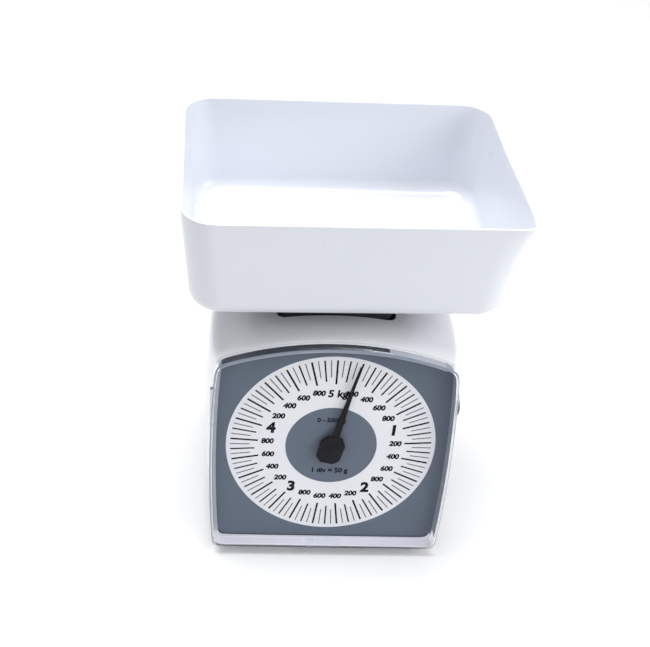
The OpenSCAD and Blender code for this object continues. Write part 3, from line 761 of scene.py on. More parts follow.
@dataclass
class Housing:
    """White body shell with a leaning front, a neck opening on top and an open underside."""

    dial: DialFrame
    width: float = 161.6 * MM
    face_top: float = 80 * MM
    wall: float = 2.2 * MM
    shoulder: float = -2.0 * MM
    face: float = -0.82 * MM
    rim_inset: float = 2.1 * MM
    neck_front: float = 4.5
    count: int = 220
    body: str = "case"

    def outline_at(self, width: float, top: float, keen: float) -> FaceOutline:
        """Outline of an upright section, drawn past the underside that is cut off later."""
        return FaceOutline(width, top - self.dial.centre.z, self.dial.centre.z + 14 * MM, keen)

    def section(self, y: float, outline: FaceOutline, inset: float = 0.0) -> Points:
        """Ring of an upright section at a depth."""
        spots = [outline.reach(a, inset) for a in self.turns]
        return [Vector((self.dial.centre.x + u, y, self.dial.centre.z + v)) for u, v in spots]

    def front_ring(self, inset: float, d: float) -> Points:
        """Ring in the leaning plane of the face."""
        return [self.dial.at(*self.front.reach(a, inset), d) for a in self.turns]

    def rings(self) -> list[Points]:
        """All rings from the raised face, over the edge and back to the rear wall."""
        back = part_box("housing")[1].y
        self.front = FaceOutline(self.width, self.face_top, 96 * MM)
        self.turns = self.front.directions(self.count)
        stations = [
            (back - 138 * MM, self.width + 5.0 * MM, 165 * MM, 30.0),
            (back - 66 * MM, self.width + 5.4 * MM, 164 * MM, 24.0),
            (back - 14 * MM, self.width - 1.6 * MM, 161.5 * MM, 13.0),
            (back - 5 * MM, self.width - 9.0 * MM, 157.5 * MM, 11.0),
            (back - 1.2 * MM, self.width - 17.0 * MM, 153.0 * MM, 10.0),
        ]
        knots = [self.front_ring(0.0, self.shoulder - 0.9 * MM)]
        knots += [self.section(y, self.outline_at(w, top, keen)) for y, w, top, keen in stations]
        rings = [
            self.front_ring(self.rim_inset + 0.5 * MM, self.face),
            self.front_ring(self.rim_inset, self.face - 0.2 * MM),
            self.front_ring(self.rim_inset, self.shoulder),
            self.front_ring(0.9 * MM, self.shoulder),
            self.front_ring(0.3 * MM, self.shoulder - 0.2 * MM),
        ]
        rings += smooth_through(knots, 7)
        y, w, top, keen = stations[-1]
        rear = self.outline_at(w, top, keen)
        rings += [self.section(back - 0.4 * MM, rear, 0.8 * MM), self.section(back, rear, 2.6 * MM)]
        rings += [self.section(back, rear, 12 * MM), self.section(back - 0.9 * MM, rear, 13 * MM)]
        return rings

    def cutters(self) -> bmesh.types.BMesh:
        """Openings for the neck, the zero spindle's bush and the pointer's bush."""
        neck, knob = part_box("platform"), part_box("spindle_bush")
        half = (Vector((79, 71 + self.neck_front, 0)) * MM) / 2
        centre = Vector(((neck[0].x + neck[1].x) / 2, (neck[0].y + neck[1].y) / 2, 0))
        centre.y -= (5 + self.neck_front / 2) * MM
        tool = Skin().loft([
            rounded_ring(half.x, half.y, 6 * MM, centre + Vector((0, 0, z)), edge_steps=1)
            for z in (120 * MM, 190 * MM)
        ])
        axis = Vector((0, (knob[0].y + knob[1].y) / 2, (knob[0].z + knob[1].z) / 2))
        across = Matrix.Translation(axis) @ Matrix.Rotation(math.pi / 2, 4, "Y")
        for place, radius, low, high in (
            (across, 3.6 * MM, 62 * MM, 92 * MM),
            (self.dial.matrix, 3.1 * MM, -8 * MM, 4 * MM),
        ):
            hole = bmesh.new()
            bmesh.ops.create_cone(
                hole, cap_ends=True, segments=48, radius1=radius, radius2=radius, depth=high - low,
                matrix=place @ Matrix.Translation((0, 0, (low + high) / 2)),
            )
            join(tool, hole)
        return tool

    def fittings(self, bm: bmesh.types.BMesh) -> None:
        """Adds the collar around the neck and the screw bosses."""
        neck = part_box("platform")
        centre = Vector(((neck[0].x + neck[1].x) / 2, (neck[0].y + neck[1].y) / 2, 0))
        centre.y -= (5 + self.neck_front / 2) * MM
        half_y = 35.5 + self.neck_front / 2
        rings = []
        for grow, z in ((0, 152), (1.8, 152), (1.8, 161), (0, 161), (0, 152)):
            middle = centre + Vector((0, 0, z * MM))
            x, y, corner = (39.5 + grow) * MM, (half_y + grow) * MM, (6 + grow) * MM
            rings.append(rounded_ring(x, y, corner, middle, edge_steps=1))
        join(bm, tidy_normals(Skin().loft(rings, caps=False)))
        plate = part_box("base_screws")
        for x, y in (
            (plate[0].x + 3 * MM, plate[0].y + 3 * MM), (plate[1].x - 3 * MM, plate[0].y + 3 * MM),
            (plate[0].x + 7 * MM, plate[1].y - 3 * MM), (plate[1].x - 7 * MM, plate[1].y - 3 * MM),
        ):
            boss = [(1.5, 0), (4.1, 0), (4.5, 0.4), (4.5, 29.6), (4.1, 30), (1.5, 30), (1.5, 0)]
            place = Matrix.Translation((x, y, plate[0].z + 2.6 * MM))
            join(bm, spin_profile([(r * MM, z * MM) for r, z in boss], place, 40))

    def build(self) -> None:
        """Builds and dresses the shell."""
        low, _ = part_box("housing")
        skin = Skin()
        bm = skin.loft(self.rings())
        tidy_normals(bm)
        everything = bm.verts[:] + bm.edges[:] + bm.faces[:]
        bmesh.ops.bisect_plane(
            bm, geom=everything, plane_co=(0, 0, low.z), plane_no=(0, 0, 1), clear_inner=True
        )
        shell = make_piece("housing_shell", bm, FINISHES["white_shell"])
        walls = shell.modifiers.new("walls", "SOLIDIFY")
        walls.thickness = self.wall
        walls.offset = -1.0
        settle(shell)
        carve(shell, self.cutters())
        hand_over(shell, self.body, ["housing"])
        extra = bmesh.new()
        self.fittings(extra)
        inside = make_piece("housing_bosses", extra, FINISHES["white_shell"])
        hand_over(inside, self.body)


def smooth_through(knots: Sequence[Points], steps: int) -> list[Points]:
    """Rings on smooth curves through a row of rings.

    Args:
        knots: The rings that the curves pass through.
        steps: Rings from one knot to the next.

    Returns:
        The knots with the new rings between them.
    """
    rings = []
    last = len(knots) - 1
    for k in range(last):
        before, after = knots[max(k - 1, 0)], knots[min(k + 2, last)]
        for i in range(steps):
            t = i / steps
            spots = zip(before, knots[k], knots[k + 1], after)
            rings.append([curve_point(*four, t) for four in spots])
    rings.append(list(knots[-1]))
    return rings


def curve_point(p0: Vector, p1: Vector, p2: Vector, p3: Vector, t: float) -> Vector:
    """Point of a spline from p1 to p2, whose slopes allow for uneven steps.

    Args:
        p0: Knot before the stretch.
        p1: Start of the stretch.
        p2: End of the stretch.
        p3: Knot after the stretch.
        t: How far along the stretch, from 0 to 1.

    Returns:
        The point.
    """
    gap = max((p2 - p1).length, 1e-9)
    before, after = max((p1 - p0).length, gap * 0.2), max((p3 - p2).length, gap * 0.2)
    way = (p2 - p1) / gap
    m1 = m2 = p2 - p1
    if p0 != p1:
        m1 = (way * before + (p1 - p0) / before * gap) / (gap + before) * gap
    if p3 != p2:
        m2 = (way * after + (p3 - p2) / after * gap) / (gap + after) * gap
    a, b = 2 * t ** 3 - 3 * t ** 2 + 1, t ** 3 - 2 * t ** 2 + t
    return p1 * a + m1 * b + p2 * (3 * t ** 2 - 2 * t ** 3) + m2 * (t ** 3 - t ** 2)


# ---------------------------------------------------------------- lens


@dataclass
class Lens:
    """Clear tray-shaped cover with a finger slot on top, side clips and a bottom tab."""

    dial: DialFrame
    width: float = 161 * MM
    top: float = 80 * MM
    bottom: float = 81.5 * MM
    back: float = -1.95 * MM
    front: float = 10.5 * MM
    wall: float = 1.6 * MM
    edge: float = 2.4 * MM
    slot_back: float = 5.4 * MM
    count: int = 220

    def build(self) -> None:
        """Builds and dresses the cover, its clips and its tab."""
        outline = FaceOutline(self.width, self.top, self.bottom)
        turns = outline.directions(self.count)

        def ring(inset: float, d: float) -> Points:
            """Ring of the cover's skin."""
            return [self.dial.at(*outline.reach(a, inset), d) for a in turns]

        outer = [ring(i, self.front - self.edge + f) for i, f in quarter(self.edge, 6)]
        core = self.edge - self.wall
        inner_front = self.front - self.wall
        inner = [ring(self.wall + i, inner_front - core + f) for i, f in quarter(core, 4)]
        rings = list(reversed(outer)) + [ring(0, self.back + 0.2 * MM), ring(0.2 * MM, self.back)]
        rings += [ring(self.wall - 0.2 * MM, self.back), ring(self.wall, self.back + 0.2 * MM)] + inner
        tray = make_piece("lens_tray", tidy_normals(Skin().loft(rings)), FINISHES["clear_cover"])
        for left, right, low in ((-26, 20, 0), (19, 34, 1)):
            slot = bmesh.new()
            add_block(
                slot, (left * MM, self.top - 12 * MM, self.slot_back + low * MM),
                (right * MM, self.top + 8 * MM, self.slot_back + 2.8 * MM), place=self.dial.matrix,
            )
            carve(tray, slot)
        hand_over(tray, "case", ["lens"])
        self.painted_edge_reflection(ring)
        self.trim()
        self.shades(outline)

    def trim(self) -> None:
        """Adds the side clips and the tab on the bottom wall."""
        trim = bmesh.new()
        for side in (-1, 1):
            middle = side * (self.width / 2 - 0.7 * MM)
            add_block(
                trim, (middle - 0.9 * MM, 17 * MM, 0.8 * MM), (middle + 0.9 * MM, 45 * MM, 4.2 * MM),
                0.3 * MM, self.dial.matrix,
            )
        low = -self.bottom + self.wall
        add_block(
            trim, (-13 * MM, low - 0.8 * MM, 0.5 * MM), (11 * MM, low + 0.8 * MM, 8.6 * MM),
            0.3 * MM, self.dial.matrix,
        )
        clips = make_piece("lens_clips", trim, FINISHES["frosted_clip"])
        hand_over(clips, "case")

    def painted_edge_reflection(self, ring: Callable[[float, float], Points]) -> None:
        """Adds the thin dim line along the outer half of the rounded front edge: a painted reflection that
        draws the cover's outline.

        Args:
            ring: Gives a ring of the cover from its inset and its place out of the face.
        """
        start = self.front - self.edge
        turns = [math.radians(a) for a in (0, 15, 30, 45)]

        def arc(radius: float) -> list[Points]:
            """Rings on a round inside the edge."""
            return [ring(self.edge - radius * math.cos(a), start + radius * math.sin(a)) for a in turns]

        rings = arc(self.edge + 0.02 * MM) + list(reversed(arc(self.edge - 0.08 * MM)))
        line = Skin().loft(rings + rings[:1], caps=False)
        piece = make_piece("lens_painted_edge_reflection", tidy_normals(line), FINISHES["painted_edge_reflection"])
        hand_over(piece, "case")

    def shades(self, outline: FaceOutline) -> None:
        """Adds opaque strips of painted shade and painted light along the cover's walls and the card's
        margins, in place of the shades and reflections of the clear plastic.

        Args:
            outline: The cover's outline.
        """
        in_wall, deep = self.wall + 0.12 * MM, self.wall + 0.4 * MM
        skin_low, skin_high = self.wall + 0.02 * MM, self.wall + 0.1 * MM
        # These strips paint the light and shade of the clear walls. The dark and grey strips are painted
        # shade. The pale and mid strips are painted light and highlight lines. The black strip is the
        # painted shadow in the finger slot.
        spans = [
            ("painted_shade_top", 67, 139, "painted_shade_dark", in_wall, deep, -0.6, 8.6),
            ("painted_light_corner", 44, 67, "painted_light_mid", in_wall, deep, -0.6, 8.6),
            ("painted_shade_right", -43, 44, "painted_shade_grey", in_wall, deep, -0.6, 7.6),
            ("painted_shade_left", 139, 223, "painted_shade_grey", in_wall, deep, -0.6, 7.6),
            ("painted_light_bottom", 226, 314, "painted_light_pale", in_wall, deep, 0.1, 8.6),
            ("painted_highlight_top", 44, 139, "painted_light_mid", in_wall - 0.06 * MM, deep + 0.06 * MM, 8.0, 8.7),
            ("painted_light_margin_left", 139, 225, "painted_light_mid", deep, 4.0 * MM, 0.05, 0.3),
            ("painted_shade_margin_right", -45, 44, "painted_shade_grey", deep, 2.7 * MM, 0.05, 0.3),
            ("painted_light_margin_bottom", 225, 315, "painted_light_pale", deep, 3.7 * MM, 0.05, 0.3),
            ("painted_shade_line_bottom", 225, 315, "painted_shade_dark", 3.7 * MM, 4.3 * MM, 0.05, 0.3),
            ("cover_slot_shadow", 67, 108, "painted_shade_black", skin_low, skin_high, 5.0, 7.6),
        ]
        steps = 60
        for name, start, end, finish, near_inset, far_inset, low, high in spans:
            rings = []
            for i in range(steps + 1):
                angle = math.radians(start + (end - start) * i / steps)
                near, far = outline.reach(angle, near_inset), outline.reach(angle, far_inset)
                rings.append([
                    self.dial.at(*near, low * MM), self.dial.at(*near, high * MM),
                    self.dial.at(*far, high * MM), self.dial.at(*far, low * MM),
                ])
            strip = make_piece(name, tidy_normals(Skin().loft(rings)), FINISHES[finish])
            hand_over(strip, "case")


# ---------------------------------------------------------------- dial


@dataclass
class Dial:
    """Printed card with the scale ring, its hundred graduations and the numerals."""

    dial: DialFrame
    radius: float = 70 * MM
    ring_share: float = 0.437
    divisions: int = 100
    print_rise: float = 0.04 * MM
    numeral_share: float = 0.612

    def washer(
        self, inner: float, outer: float, low: float, high: float, steps: int = 200
    ) -> bmesh.types.BMesh:
        """Flat ring in the plane of the dial."""
        place = self.dial.matrix
        rings = [
            circle_ring(r, d, place, steps)
            for r, d in ((inner, low), (inner, high), (outer, high), (outer, low), (inner, low))
        ]
        return tidy_normals(Skin().loft(rings, caps=False))

    def card(self) -> None:
        """Slate card that fills the cover."""
        outline = FaceOutline(161 * MM, 80 * MM, 81.5 * MM)
        turns = outline.directions(200)
        inset = 2.4 * MM
        rings = []
        bore, middle, edge, rim, thick = 0.0, 0.25, 1.0, 1.02, -0.78
        section = (
            (bore, thick), (bore, 0.0), (middle, 0.0), (edge, 0.0), (rim, -0.1), (rim, thick), (bore, thick)
        )
        for share, d in section:
            ring = []
            for a in turns:
                if share >= edge:
                    spot = outline.reach(a, inset + (0.1 * MM if share == edge else 0.0))
                else:
                    r = 3.6 * MM + share * self.radius
                    spot = (r * math.cos(a), r * math.sin(a))
                ring.append(self.dial.at(*spot, d * MM))
            rings.append(ring)
        sheet = tidy_normals(Skin().loft(rings, caps=False))
        card = make_piece("dial_card_sheet", sheet, FINISHES["slate_print"])
        hand_over(card, "case", ["dial_card"])

    def scale_ring(self) -> None:
        """White ring that carries the scale."""
        inner = self.ring_share * self.radius
        white = self.washer(inner, self.radius, -0.02 * MM, self.print_rise)
        piece = make_piece("scale_ring", white, FINISHES["white_print"])
        hand_over(piece, "case")

    def bar(self, bm: bmesh.types.BMesh, angle: float, start: float, end: float, width: float) -> None:
        """Adds one graduation, pointing outwards at an angle clockwise from the top."""
        place = self.dial.matrix @ Matrix.Rotation(-angle, 4, "Z")
        add_block(
            bm, (-width / 2, start * self.radius, self.print_rise - 0.01 * MM),
            (width / 2, end * self.radius, 2 * self.print_rise), place=place,
        )

    def graduations(self) -> None:
        """Long marks every 200 g, shorter ones every 100 g and light ones every 50 g."""
        long_marks, short_marks, light_marks = bmesh.new(), bmesh.new(), bmesh.new()
        for k in range(self.divisions):
            angle = math.tau * k / self.divisions
            if k % 4 == 0:
                self.bar(long_marks, angle, 0.70, 0.96, 1.25 * MM)
            elif k % 2 == 0:
                self.bar(short_marks, angle, 0.73, 0.96, 1.05 * MM)
            else:
                self.bar(light_marks, angle, 0.775, 0.96, 0.7 * MM)
        for name, bm, finish in (
            ("graduations_200_g", long_marks, "black_print"),
            ("graduations_100_g", short_marks, "black_print"),
            ("graduations_50_g", light_marks, "grey_print"),
        ):
            hand_over(make_piece(name, bm, FINISHES[finish]), "case")

    def write(
        self, bm: bmesh.types.BMesh, text: str, u: float, v: float, size: float, bold: float, slant: float
    ) -> None:
        """Adds generic characters, as thin flat print.

        Args:
            bm: The mesh that takes the characters.
            text: What is written.
            u: Middle of the text across the face.
            v: Middle of the text up the face.
            size: Height of the type.
            bold: Extra width of each stroke.
            slant: Lean of the type.
        """
        curve = bpy.data.curves.new("type", "FONT")
        curve.body = text
        curve.size = size
        curve.align_x = "CENTER"
        curve.align_y = "CENTER"
        curve.offset = bold
        curve.shear = slant
        curve.resolution_u = 3
        curve.extrude = self.print_rise / 2
        holder = bpy.data.objects.new("type", curve)
        bpy.context.scene.collection.objects.link(holder)
        bpy.context.view_layer.update()
        mesh = bpy.data.meshes.new_from_object(holder.evaluated_get(bpy.context.evaluated_depsgraph_get()))
        mesh.transform(self.dial.matrix @ Matrix.Translation((u, v, self.print_rise * 1.5)))
        bm.from_mesh(mesh)
        bpy.data.objects.remove(holder)
        bpy.data.curves.remove(curve)
        bpy.data.meshes.remove(mesh)

    def numerals(self) -> None:
        """Kilograms in large type and grams in small type, all upright."""
        large, small = bmesh.new(), bmesh.new()
        labels = 25
        for k in range(labels):
            angle = math.tau * k / labels
            reach = self.numeral_share * self.radius
            u, v = reach * math.sin(angle), reach * math.cos(angle)
            if k == 0:
                self.write(large, "5 kg", u + 1.6 * MM, v - 1.5 * MM, 7.6 * MM, 0.3 * MM, 0.1)
            elif k % 5 == 0:
                self.write(large, str(k // 5), u, v, 11.0 * MM, 0.55 * MM, 0.05)
            else:
                self.write(small, str(k % 5 * 200), u, v, 5.4 * MM, 0.3 * MM, 0.15)
        hand_over(make_piece("numerals_kilograms", large, FINISHES["black_print"]), "case")
        hand_over(make_piece("numerals_grams", small, FINISHES["black_print"]), "case")

    def centre_print(self) -> None:
        """Small dark lines above and below the hub, which give the range in generic type."""
        bm = bmesh.new()
        self.write(bm, "0 - 5000 g", -1 * MM, 20.5 * MM, 4.6 * MM, 0.16 * MM, 0.0)
        self.write(bm, "1 div = 50 g", 0.0, -20.5 * MM, 5.2 * MM, 0.2 * MM, 0.0)
        hand_over(make_piece("centre_print", bm, FINISHES["black_print"]), "case")

    def build(self) -> None:
        """Builds and dresses the card and all its print."""
        self.card()
        self.scale_ring()
        self.graduations()
        self.numerals()
        self.centre_print()


# ---------------------------------------------------------------- pointer


@dataclass
class Pointer:
    """Black needle on a broad shield-shaped hub."""

    dial: DialFrame
    rest_deg: float = 13.0
    tip: float = 66 * MM
    # Half width at the root: partly the needle and partly painted shadow along its side.
    root_half_with_shadow: float = 2.9 * MM
    tip_half: float = 0.4 * MM
    low: float = 2.4 * MM
    high: float = 3.4 * MM

    def plate(
        self, corners: Sequence[tuple[float, float]], low: float, high: float, edge: float
    ) -> bmesh.types.BMesh:
        """Flat plate with rounded edges, extruded from its outline.

        Args:
            corners: The outline across and up the pointer, in metres.
            low: Its back.
            high: Its front.
            edge: Radius of its edges.

        Returns:
            The plate in the model's frame.
        """
        bm = bmesh.new()
        face = bm.faces.new([bm.verts.new((x, y, low)) for x, y in corners])
        made = bmesh.ops.extrude_face_region(bm, geom=[face])["geom"]
        top = [v for v in made if isinstance(v, bmesh.types.BMVert)]
        bmesh.ops.translate(bm, vec=(0, 0, high - low), verts=top)
        tidy_normals(bm)
        bmesh.ops.bevel(
            bm, geom=bm.edges[:], offset=edge, segments=3, profile=0.5, affect="EDGES", material=-1,
            clamp_overlap=True,
        )
        turned = self.dial.matrix @ Matrix.Rotation(math.radians(-self.rest_deg), 4, "Z")
        bmesh.ops.transform(bm, matrix=turned, verts=bm.verts)
        return bm

    def build(self) -> None:
        """Builds and dresses the needle and the hub."""
        needle = self.plate(
            [(-self.root_half_with_shadow, 4 * MM), (self.root_half_with_shadow, 4 * MM), (self.tip_half, self.tip - 0.6 * MM),
             (0, self.tip), (-self.tip_half, self.tip - 0.6 * MM)],
            self.low, self.high, 0.15 * MM,
        )
        half = [(5, 9.4), (8.6, 4), (8.2, -8.4), (4.4, -12)]
        shield = [(-5, 9.4)] + half + [(-x, y) for x, y in reversed(half[1:])]
        hub = self.plate([(x * MM, y * MM) for x, y in shield], 1.6 * MM, 4.4 * MM, 0.9 * MM)
        cap = [(0, 4.2), (5.0, 4.2), (5.0, 4.6), (4.4, 5.5), (3.9, 5.75), (0, 5.8)]
        join(needle, hub)
        join(needle, spin_profile([(r * MM, z * MM) for r, z in cap], self.dial.matrix, 48))
        piece = make_piece("pointer_needle", needle, FINISHES["black_needle"])
        hand_over(piece, "pointer", ["pointer"])


# ---------------------------------------------------------------- bowl


@dataclass
class Bowl:
    """Lift-off bowl with drafted walls, a rolled rim and a pouring corner at the front right."""

    width: float = 212 * MM
    depth: float = 158 * MM
    wall: float = 2 * MM
    corner: float = 21 * MM
    foot: float = 11 * MM
    draft: float = 5 * MM
    turn: float = math.radians(2)
    seat_depth: float = 3 * MM
    seat_half: tuple[float, float] = (67.4 * MM, 55.4 * MM)
    seat_corner: float = 16 * MM
    floor: float = 5.4 * MM
    nose: float = 1.8 * MM
    spout_power: float = 3.6
    spout_keen: float = 7.0

    def __post_init__(self) -> None:
        """Takes the bowl's middle from the ends of its box where the corners are plain."""
        low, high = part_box("bowl")
        arm_x, arm_y = self.width / 2 - self.corner, self.depth / 2 - self.corner
        reach_x = arm_x * math.cos(self.turn) + arm_y * math.sin(self.turn) + self.corner
        reach_y = arm_y * math.cos(self.turn) + arm_x * math.sin(self.turn) + self.corner
        self.middle = Vector((low.x + reach_x, high.y - reach_y, low.z))
        self.height = high.z - low.z

    def ring(self, inset: float, radius: float, height: float) -> Points:
        """Ring of the wall with the pouring corner drawn out towards the rim.

        Args:
            inset: How far it lies inside the rim's outline.
            radius: Radius of its plain corners.
            height: Its height above the bowl's foot.

        Returns:
            The ring's points.
        """
        drawn = max(height / self.height, 0.0) ** self.spout_power
        half_x, half_y = self.width / 2 - inset, self.depth / 2 - inset
        mid_x, mid_y = half_x - radius, radius - half_y

        def shape(x: float, y: float, number: int, angle: float) -> tuple[float, float]:
            """Draws the front right corner out and swells the right side towards it."""
            if number == 0:
                c, s = abs(math.cos(angle)), abs(math.sin(angle))
                full = (c ** self.spout_keen + s ** self.spout_keen) ** (-1 / self.spout_keen)
                k = 1 + drawn * (full - 1)
                swell = drawn * self.nose * math.sqrt(c)
                return mid_x + (x - mid_x) * k + swell, mid_y + (y - mid_y) * k
            if x > half_x - radius * 0.02:
                t = min(max((20 * MM - y) / (20 * MM - mid_y), 0.0), 1.0)
                x += drawn * self.nose * t * t * (3 - 2 * t)
            return x, y

        centre = self.middle + Vector((0, 0, height))
        return rounded_ring(half_x, half_y, radius, centre, self.turn, 14, 12, shape)

    def seat_ring(self, grow: float, height: float) -> Points:
        """Ring of the recess that drops over the platform."""
        low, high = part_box("platform")
        centre = Vector(((low.x + high.x) / 2, (low.y + high.y) / 2, self.middle.z + height))
        half_x, half_y = (half + grow for half in self.seat_half)
        return rounded_ring(half_x, half_y, self.seat_corner, centre, 0.0, 14, 12)

    def lean(self, height: float) -> float:
        """Inset of the wall at a height above the foot's round."""
        return self.draft * (self.height - height) / (self.height - self.foot)

    def build(self) -> None:
        """Builds and dresses the bowl."""
        ease = 0.4 * MM
        rings = [self.seat_ring(0, self.seat_depth), self.seat_ring(0, ease), self.seat_ring(ease, 0)]
        for inward, rise in reversed(quarter(self.foot, 8)):
            rings.append(self.ring(self.draft + inward, self.corner - inward, self.foot - rise))
        steps = 14
        lip = self.wall / 2
        top = self.height - lip
        for i in range(1, steps + 1):
            z = self.foot + (top - self.foot) * i / steps
            rings.append(self.ring(self.lean(z), self.corner, z))
        for i in range(1, 9):
            a = math.pi * i / 8
            inward = lip * (1 - math.cos(a))
            rings.append(self.ring(inward, self.corner - inward, top + lip * math.sin(a)))
        inner_foot = self.foot - self.wall / 2
        low = self.floor + inner_foot
        for i in range(1, steps + 1):
            z = top + (low - top) * i / steps
            rings.append(self.ring(self.wall + self.lean(z), self.corner - self.wall, z))
        bottom_inset = self.wall + self.lean(low)
        for inward, rise in quarter(inner_foot, 8)[1:]:
            rings.append(self.ring(bottom_inset + inward, self.corner - self.wall - inward, low - rise))
        bowl = make_piece("bowl_shell", tidy_normals(Skin().loft(rings)), FINISHES["bowl_plastic"], 40.0)
        hand_over(bowl, "bowl", ["bowl"])


# ---------------------------------------------------------------- platform


@dataclass
class Platform:
    """Plate that carries the bowl, on a neck that drops into the housing."""

    thick: float = 8 * MM
    edge: float = 1.6 * MM
    skin: float = 2.4 * MM
    corner: float = 14 * MM
    neck_half: tuple[float, float] = (38 * MM, 34 * MM)
    neck_shift: float = -5 * MM
    web: float = 10 * MM

    def build(self) -> None:
        """Builds and dresses the plate and its neck."""
        low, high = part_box("platform")
        half_x, half_y = (high.x - low.x) / 2, (high.y - low.y) / 2
        centre = Vector(((low.x + high.x) / 2, (low.y + high.y) / 2, 0))

        def plate(inset: float, z: float) -> Points:
            """Ring of the plate."""
            spot = centre + Vector((0, 0, z))
            radius = max(self.corner - inset, 3 * MM)
            return rounded_ring(half_x - inset, half_y - inset, radius, spot, 0.0, 10, 4)

        def neck(inset: float, z: float) -> Points:
            """Ring of the neck."""
            spot = centre + Vector((0, self.neck_shift, z))
            hx, hy = self.neck_half
            return rounded_ring(hx - inset, hy - inset, 6 * MM - inset, spot, 0.0, 10, 4)

        top, under = high.z, high.z - self.thick
        rings = [plate(8.6 * MM, top - 0.5 * MM), plate(8 * MM, top - 0.5 * MM), plate(7.4 * MM, top)]
        rings += [plate(i, top - self.edge + f) for i, f in reversed(quarter(self.edge, 4))]
        rings += [plate(0, under + 0.3 * MM), plate(0.3 * MM, under), plate(1.9 * MM, under)]
        rings += [plate(2.2 * MM, under + 0.3 * MM), plate(2.2 * MM, top - self.skin)]
        rings += [neck(0, top - self.skin), neck(0, low.z + 0.3 * MM), neck(0.3 * MM, low.z)]
        rings += [neck(1.8 * MM, low.z), neck(2 * MM, low.z + 0.3 * MM), neck(2 * MM, low.z + self.web)]
        # Dark finish: partly the plastic's colour, partly painted shade under the bowl.
        slab = make_piece("platform_plate", tidy_normals(Skin().loft(rings)), FINISHES["carrier_dark_and_painted_shade"])
        hand_over(slab, "platform", ["platform"])


# ---------------------------------------------------------------- knob and feet


@dataclass
class Knob:
    """Zero knob on the right side, with grip grooves and a coin slot."""

    grooves: int = 14
    depth: float = 0.55 * MM

    def build(self) -> None:
        """Builds and dresses the knob."""
        low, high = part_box("zero_knob")
        radius = (high.z - low.z) / 2
        axis = Vector((0, (low.y + high.y) / 2, (low.z + high.z) / 2))
        length = high.x - low.x
        steps = self.grooves * 10

        def ring(share: float, cut: float, x: float) -> Points:
            """Ring of the knob, grooved by a share of the full depth."""
            points = []
            for i in range(steps):
                a = math.tau * i / steps
                groove = max(math.cos(self.grooves * a), 0.0) ** 2 * self.depth * cut
                r = radius * share - groove
                points.append(Vector((low.x + x, axis.y + r * math.cos(a), axis.z + r * math.sin(a))))
            return points

        rings = [ring(0.40, 0, 0), ring(0.93, 0, 0), ring(0.985, 0.6, 0.25 * MM), ring(1.0, 1, 0.6 * MM)]
        rings += [ring(1.0, 1, length * 0.45), ring(1.0, 1, length - 0.9 * MM)]
        rings += [ring(0.985, 0.8, length - 0.45 * MM)]
        rings += [ring(0.94, 0.3, length - 0.15 * MM), ring(0.87, 0, length), ring(0.62, 0, length)]
        rings += [ring(0.58, 0, length - 0.2 * MM), ring(0.3, 0, length - 0.2 * MM)]
        knob = make_piece("zero_knob_grip", tidy_normals(Skin().loft(rings)), FINISHES["knob_olive"])
        slot = bmesh.new()
        add_block(
            slot, (high.x - 0.8 * MM, axis.y - 3 * MM, axis.z - 0.45 * MM),
            (high.x + 1 * MM, axis.y + 3 * MM, axis.z + 0.45 * MM),
        )
        carve(knob, slot)
        hand_over(knob, "zero_knob", ["zero_knob"])


@dataclass
class Feet:
    """Four turned rubber feet, each with a plug through the base plate."""

    radius: float = 8 * MM
    height: float = 4 * MM
    rear_step: float = 4 * MM

    def build(self) -> None:
        """Builds and dresses the feet."""
        low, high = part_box("rubber_feet")
        profile = [
            (0, 0.35), (3.2, 0.35), (3.6, 0), (6.6, 0), (7.2, 0.5), (7.6, 2), (7.9, 3.5), (7.6, 3.95),
            (3.0, 3.97), (3.0, 6.55), (3.8, 6.6), (3.6, 7.2), (2.6, 8.05), (0, 8.1),
        ]
        bm = bmesh.new()
        for x, y in (
            (low.x + self.radius, low.y + self.radius),
            (high.x - self.radius, low.y + self.radius),
            (low.x + self.radius + self.rear_step, high.y - self.radius),
            (high.x - self.radius - self.rear_step, high.y - self.radius),
        ):
            place = Matrix.Translation((x, y, low.z))
            join(bm, spin_profile([(r * MM, z * MM) for r, z in profile], place, 48))
        feet = make_piece("rubber_feet_turned", bm, FINISHES["foot_rubber"])
        hand_over(feet, "case", ["rubber_feet"])


# ---------------------------------------------------------------- parts kept from the CAD


CAD_FINISH = {
    "base_plate": "base_grey",
    "base_screws": "plated_screw", "movement_screws": "plated_screw", "frame_screws": "plated_screw",
    "column_screws": "plated_screw", "bracket_screws": "plated_screw", "overload_stop": "plated_screw",
    "arbor_bush": "turned_brass", "pinion_arbor": "turned_brass", "rack": "turned_brass",
    "movement_bracket": "zinc_sheet", "lower_lever": "zinc_sheet", "upper_lever": "zinc_sheet",
    "rear_frame": "zinc_sheet", "column": "zinc_sheet", "spindle_bracket": "zinc_sheet",
    "roller_pin": "bright_pin", "rack_pin": "bright_pin", "pivot_pins": "bright_pin",
    "column_pins": "bright_pin", "spring_bar": "bright_pin", "zero_spindle": "bright_pin",
    "main_spring": "oiled_spring",
    "guide_roller": "nylon_natural", "zero_cam": "nylon_natural", "spindle_bush": "nylon_natural",
}


@dataclass
class Movement:
    """The machined and stamped parts, which keep their CAD shapes and get finishes."""

    def build(self) -> None:
        """Gives each carried-over node its finish."""
        for node, finish in CAD_FINISH.items():
            part = frame["nodes"][node]
            if not part.material_slots:
                part.data.materials.append(FINISHES[finish])
            for slot in part.material_slots:
                slot.material = FINISHES[finish]
            LOG.info("%s takes %s", node, finish)


# ---------------------------------------------------------------- studio


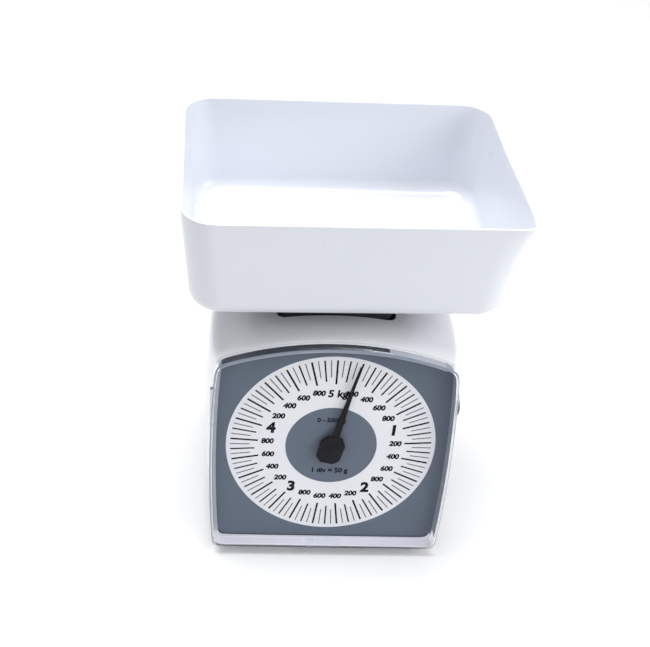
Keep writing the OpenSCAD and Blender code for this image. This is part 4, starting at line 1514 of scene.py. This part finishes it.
@dataclass
class Studio:
    """Pale floor, soft lights and the camera."""

    dial: DialFrame
    focal: float = 63.47
    sensor: float = 36.0
    camera_shift: tuple[float, float, float] = (-0.06595, -0.54793, 0.53484)
    camera_right: tuple[float, float, float] = (0.99651, -0.04235, 0.07198)
    camera_up: tuple[float, float, float] = (-0.03026, 0.62032, 0.78376)
    camera_back: tuple[float, float, float] = (-0.07784, -0.7832, 0.61687)

    def camera(self) -> None:
        """Sets the camera, which stands above and in front of the dial."""
        data = bpy.data.cameras.new("camera")
        data.lens = self.focal
        data.sensor_width = self.sensor
        data.clip_start = 0.01
        eye = bpy.data.objects.new("camera", data)
        axes = Matrix((self.camera_right, self.camera_up, self.camera_back)).transposed().to_4x4()
        eye.matrix_world = Matrix.Translation(self.dial.centre + Vector(self.camera_shift)) @ axes
        bpy.context.scene.collection.objects.link(eye)
        bpy.context.scene.camera = eye

    def floor(self) -> None:
        """Lays a wide pale floor."""
        bm = bmesh.new()
        bmesh.ops.create_grid(bm, x_segments=8, y_segments=8, size=4.0)
        material = bpy.data.materials.new("pale_floor")
        material.use_nodes = True
        shader = material.node_tree.nodes["Principled BSDF"]
        shader.inputs["Base Color"].default_value = (0.84, 0.84, 0.84, 1.0)
        shader.inputs["Roughness"].default_value = 0.9
        shader.inputs["Specular IOR Level"].default_value = 0.1
        make_piece("floor", bm, material)

    def lamp(self, name: str, place: Sequence[float], size: float, power: float) -> None:
        """Adds a square soft light that points at the scale.

        Args:
            name: Its name.
            place: Where it stands.
            size: Its side.
            power: Its power in watts.
        """
        data = bpy.data.lights.new(name, "AREA")
        data.shape = "SQUARE"
        data.size = size
        data.energy = power
        lamp = bpy.data.objects.new(name, data)
        lamp.location = place
        aim = Vector((0, 0, 0.12)) - Vector(place)
        lamp.rotation_euler = aim.to_track_quat("-Z", "Y").to_euler()
        bpy.context.scene.collection.objects.link(lamp)

    def build(self) -> None:
        """Sets up the whole studio."""
        self.camera()
        self.floor()
        world = bpy.data.worlds.new("soft_white")
        bpy.context.scene.world = world
        world.use_nodes = True
        sky = world.node_tree.nodes["Background"]
        sky.inputs["Color"].default_value = (0.98, 0.985, 1.0, 1.0)
        sky.inputs["Strength"].default_value = 0.5
        self.lamp("overhead", (-0.2, 0.2, 1.7), 1.1, 31.0)
        self.lamp("side_key", (1.2, -0.6, 0.9), 0.9, 11.0)
        bpy.context.scene.view_settings.view_transform = "Standard"


def main() -> None:
    """Builds every sub-assembly in order."""
    logging.basicConfig(level=logging.INFO, format="%(name)s: %(message)s")
    dial = read_dial_frame()
    makers = [
        Studio(dial), Housing(dial), Dial(dial), Pointer(dial), Lens(dial), Bowl(), Platform(),
        Knob(), Feet(), Movement(),
    ]
    for maker in makers:
        LOG.info("building %s", type(maker).__name__)
        maker.build()
    bpy.context.view_layer.update()


if __name__ == "__main__":
    main()
